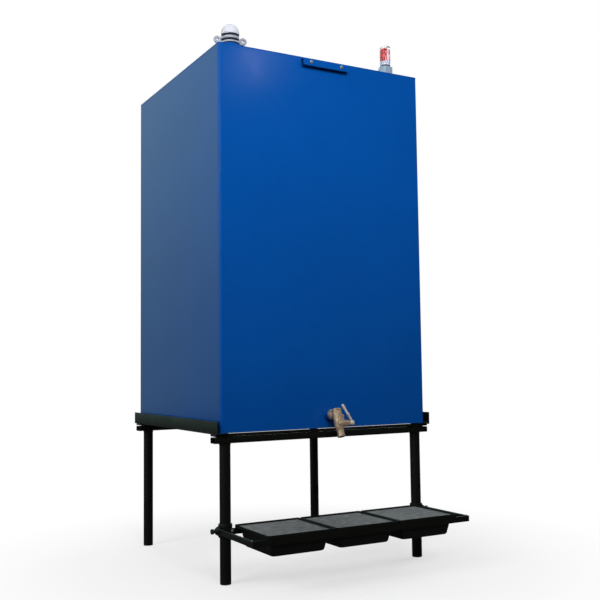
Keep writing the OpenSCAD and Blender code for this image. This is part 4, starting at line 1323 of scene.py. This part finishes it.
def makeWorld(values):
    # white for what the camera sees, a dim backdrop in gloss and a weak even light
    world = bpy.data.worlds.new("studio")
    world.use_nodes = True
    bpy.context.scene.world = world
    tree = world.node_tree
    tree.nodes.clear()
    direction = put(tree, "ShaderNodeTexCoord").outputs["Generated"]
    parts = put(tree, "ShaderNodeSeparateXYZ", {0: direction}).outputs
    # the backdrop stands behind the object and to its left, and is brighter higher up
    behind = remap(tree, maths(tree, "SUBTRACT", parts["Y"], maths(tree, "MULTIPLY", parts["X"], 0.35)),
                   -0.75, 0.25, smooth=True)
    height = remap(tree, parts["Z"], -0.05, 0.4, values["backdropLow"], values["backdropHigh"], smooth=True)
    level = maths(tree, "ADD", maths(tree, "MULTIPLY", behind, height), values["roomDim"])
    tint = {k: maths(tree, "MULTIPLY", level, share) for k, share in enumerate(values["backdropTint"])}
    grey = put(tree, "ShaderNodeCombineColor", tint).outputs[0]
    rays = put(tree, "ShaderNodeLightPath").outputs
    white = (1, 1, 1, 1)
    seen, gloss, soft = [put(tree, "ShaderNodeBackground", {"Color": colour, "Strength": strength}).outputs[0]
                         for colour, strength in ((white, 1.0), (grey, 1.0), (white, values["ambient"]))]
    first = put(tree, "ShaderNodeMixShader", {0: rays["Is Glossy Ray"], 1: soft, 2: gloss}).outputs[0]
    through = maths(tree, "MAXIMUM", rays["Is Camera Ray"], rays["Is Transmission Ray"])
    second = put(tree, "ShaderNodeMixShader", {0: through, 1: first, 2: seen}).outputs[0]
    put(tree, "ShaderNodeOutputWorld", {"Surface": second})


floorLook = {
    "seen": 0.93,
    "unseen": 0.08,  # the room's own floor is dark: only what the camera sees is white
    "fade": (0.3, 1.3),  # metres from the middle, between paper and backdrop
    "backdropShare": (0.6, 1.0),
}


def makeFloor(values):
    # disc that is white paper near the object and turns into the white backdrop further out
    angle = np.linspace(0, full, 96, endpoint=False)
    radius = np.array([9.0, 4.0, 2.0, 1.0, 0.3])
    rows = np.stack([np.outer(radius, np.cos(angle)), np.outer(radius, np.sin(angle)), np.zeros((5, 96))], -1)
    points, faces = loft(rows, caps=False)
    faces.append(list(range(len(points) - 96, len(points))))
    mesh = bpy.data.meshes.new("floor")
    mesh.from_pydata(points.tolist(), [], faces)
    floor = addObject("floor", mesh)
    made = bpy.data.materials.new("paper")
    made.use_nodes = True
    tree = made.node_tree
    tree.nodes.clear()
    at = put(tree, "ShaderNodeTexCoord").outputs["Object"]
    away = put(tree, "ShaderNodeVectorMath", {0: at}, operation="LENGTH").outputs["Value"]
    fade = remap(tree, away, *values["fade"], *values["backdropShare"], smooth=True)
    rays = put(tree, "ShaderNodeLightPath").outputs
    shown = maths(tree, "MAXIMUM", rays["Is Camera Ray"], rays["Is Transmission Ray"])
    level = remap(tree, shown, 0.0, 1.0, values["unseen"], values["seen"])
    grey = put(tree, "ShaderNodeCombineColor", {0: level, 1: level, 2: level}).outputs[0]
    paper = put(tree, "ShaderNodeBsdfDiffuse", {"Color": grey}).outputs[0]
    bright = put(tree, "ShaderNodeEmission", {"Color": (1, 1, 1, 1), "Strength": 1.0}).outputs[0]
    share = maths(tree, "MULTIPLY", shown, fade)
    surface = put(tree, "ShaderNodeMixShader", {0: share, 1: paper, 2: bright}).outputs[0]
    put(tree, "ShaderNodeOutputMaterial", {"Surface": surface})
    mesh.materials.append(made)


# place, target, size in metres and power in watts
lamps = {
    "keyLamp": dict(at=(-0.6, -3.2, 2.3), target=(-0.1, -0.2, 1.8), size=1.2, power=28, spread=85,
                    glossy=False),
    "sideLamp": dict(at=(-3.2, -0.8, 2.4), target=(-0.3, 0.0, 1.3), size=1.6, power=60, glossy=False),
    "fillLamp": dict(at=(3.4, 0.9, 2.4), target=(0.375, 0.1, 1.0), size=2.0, power=34, glossy=False),
    "backLamp": dict(at=(-0.6, 3.9, 2.4), target=(0.0, 0.48, 1.0), size=2.0, power=30, glossy=False),
    "spotLamp": dict(at=(0.98, -2.82, 2.61), target=(-0.2, -0.2, 1.5), size=0.2, power=0.4),
    "wallLamp": dict(at=(-3.2, -1.5, 1.5), target=(0.0, 0.0, 0.8), size=2.0, power=3, diffuse=False),
    "glintLamp": dict(at=(-1.9, -2.6, 2.9), target=(0.2, -0.2, 1.7), size=0.35, power=2.0, diffuse=False),
}

makeCamera(studio)
makeWorld(studio)
makeFloor(floorLook)
for name, settings in lamps.items():
    areaLamp(name, **settings)
bpy.context.scene.view_settings.view_transform = "Standard"
print("studio made")
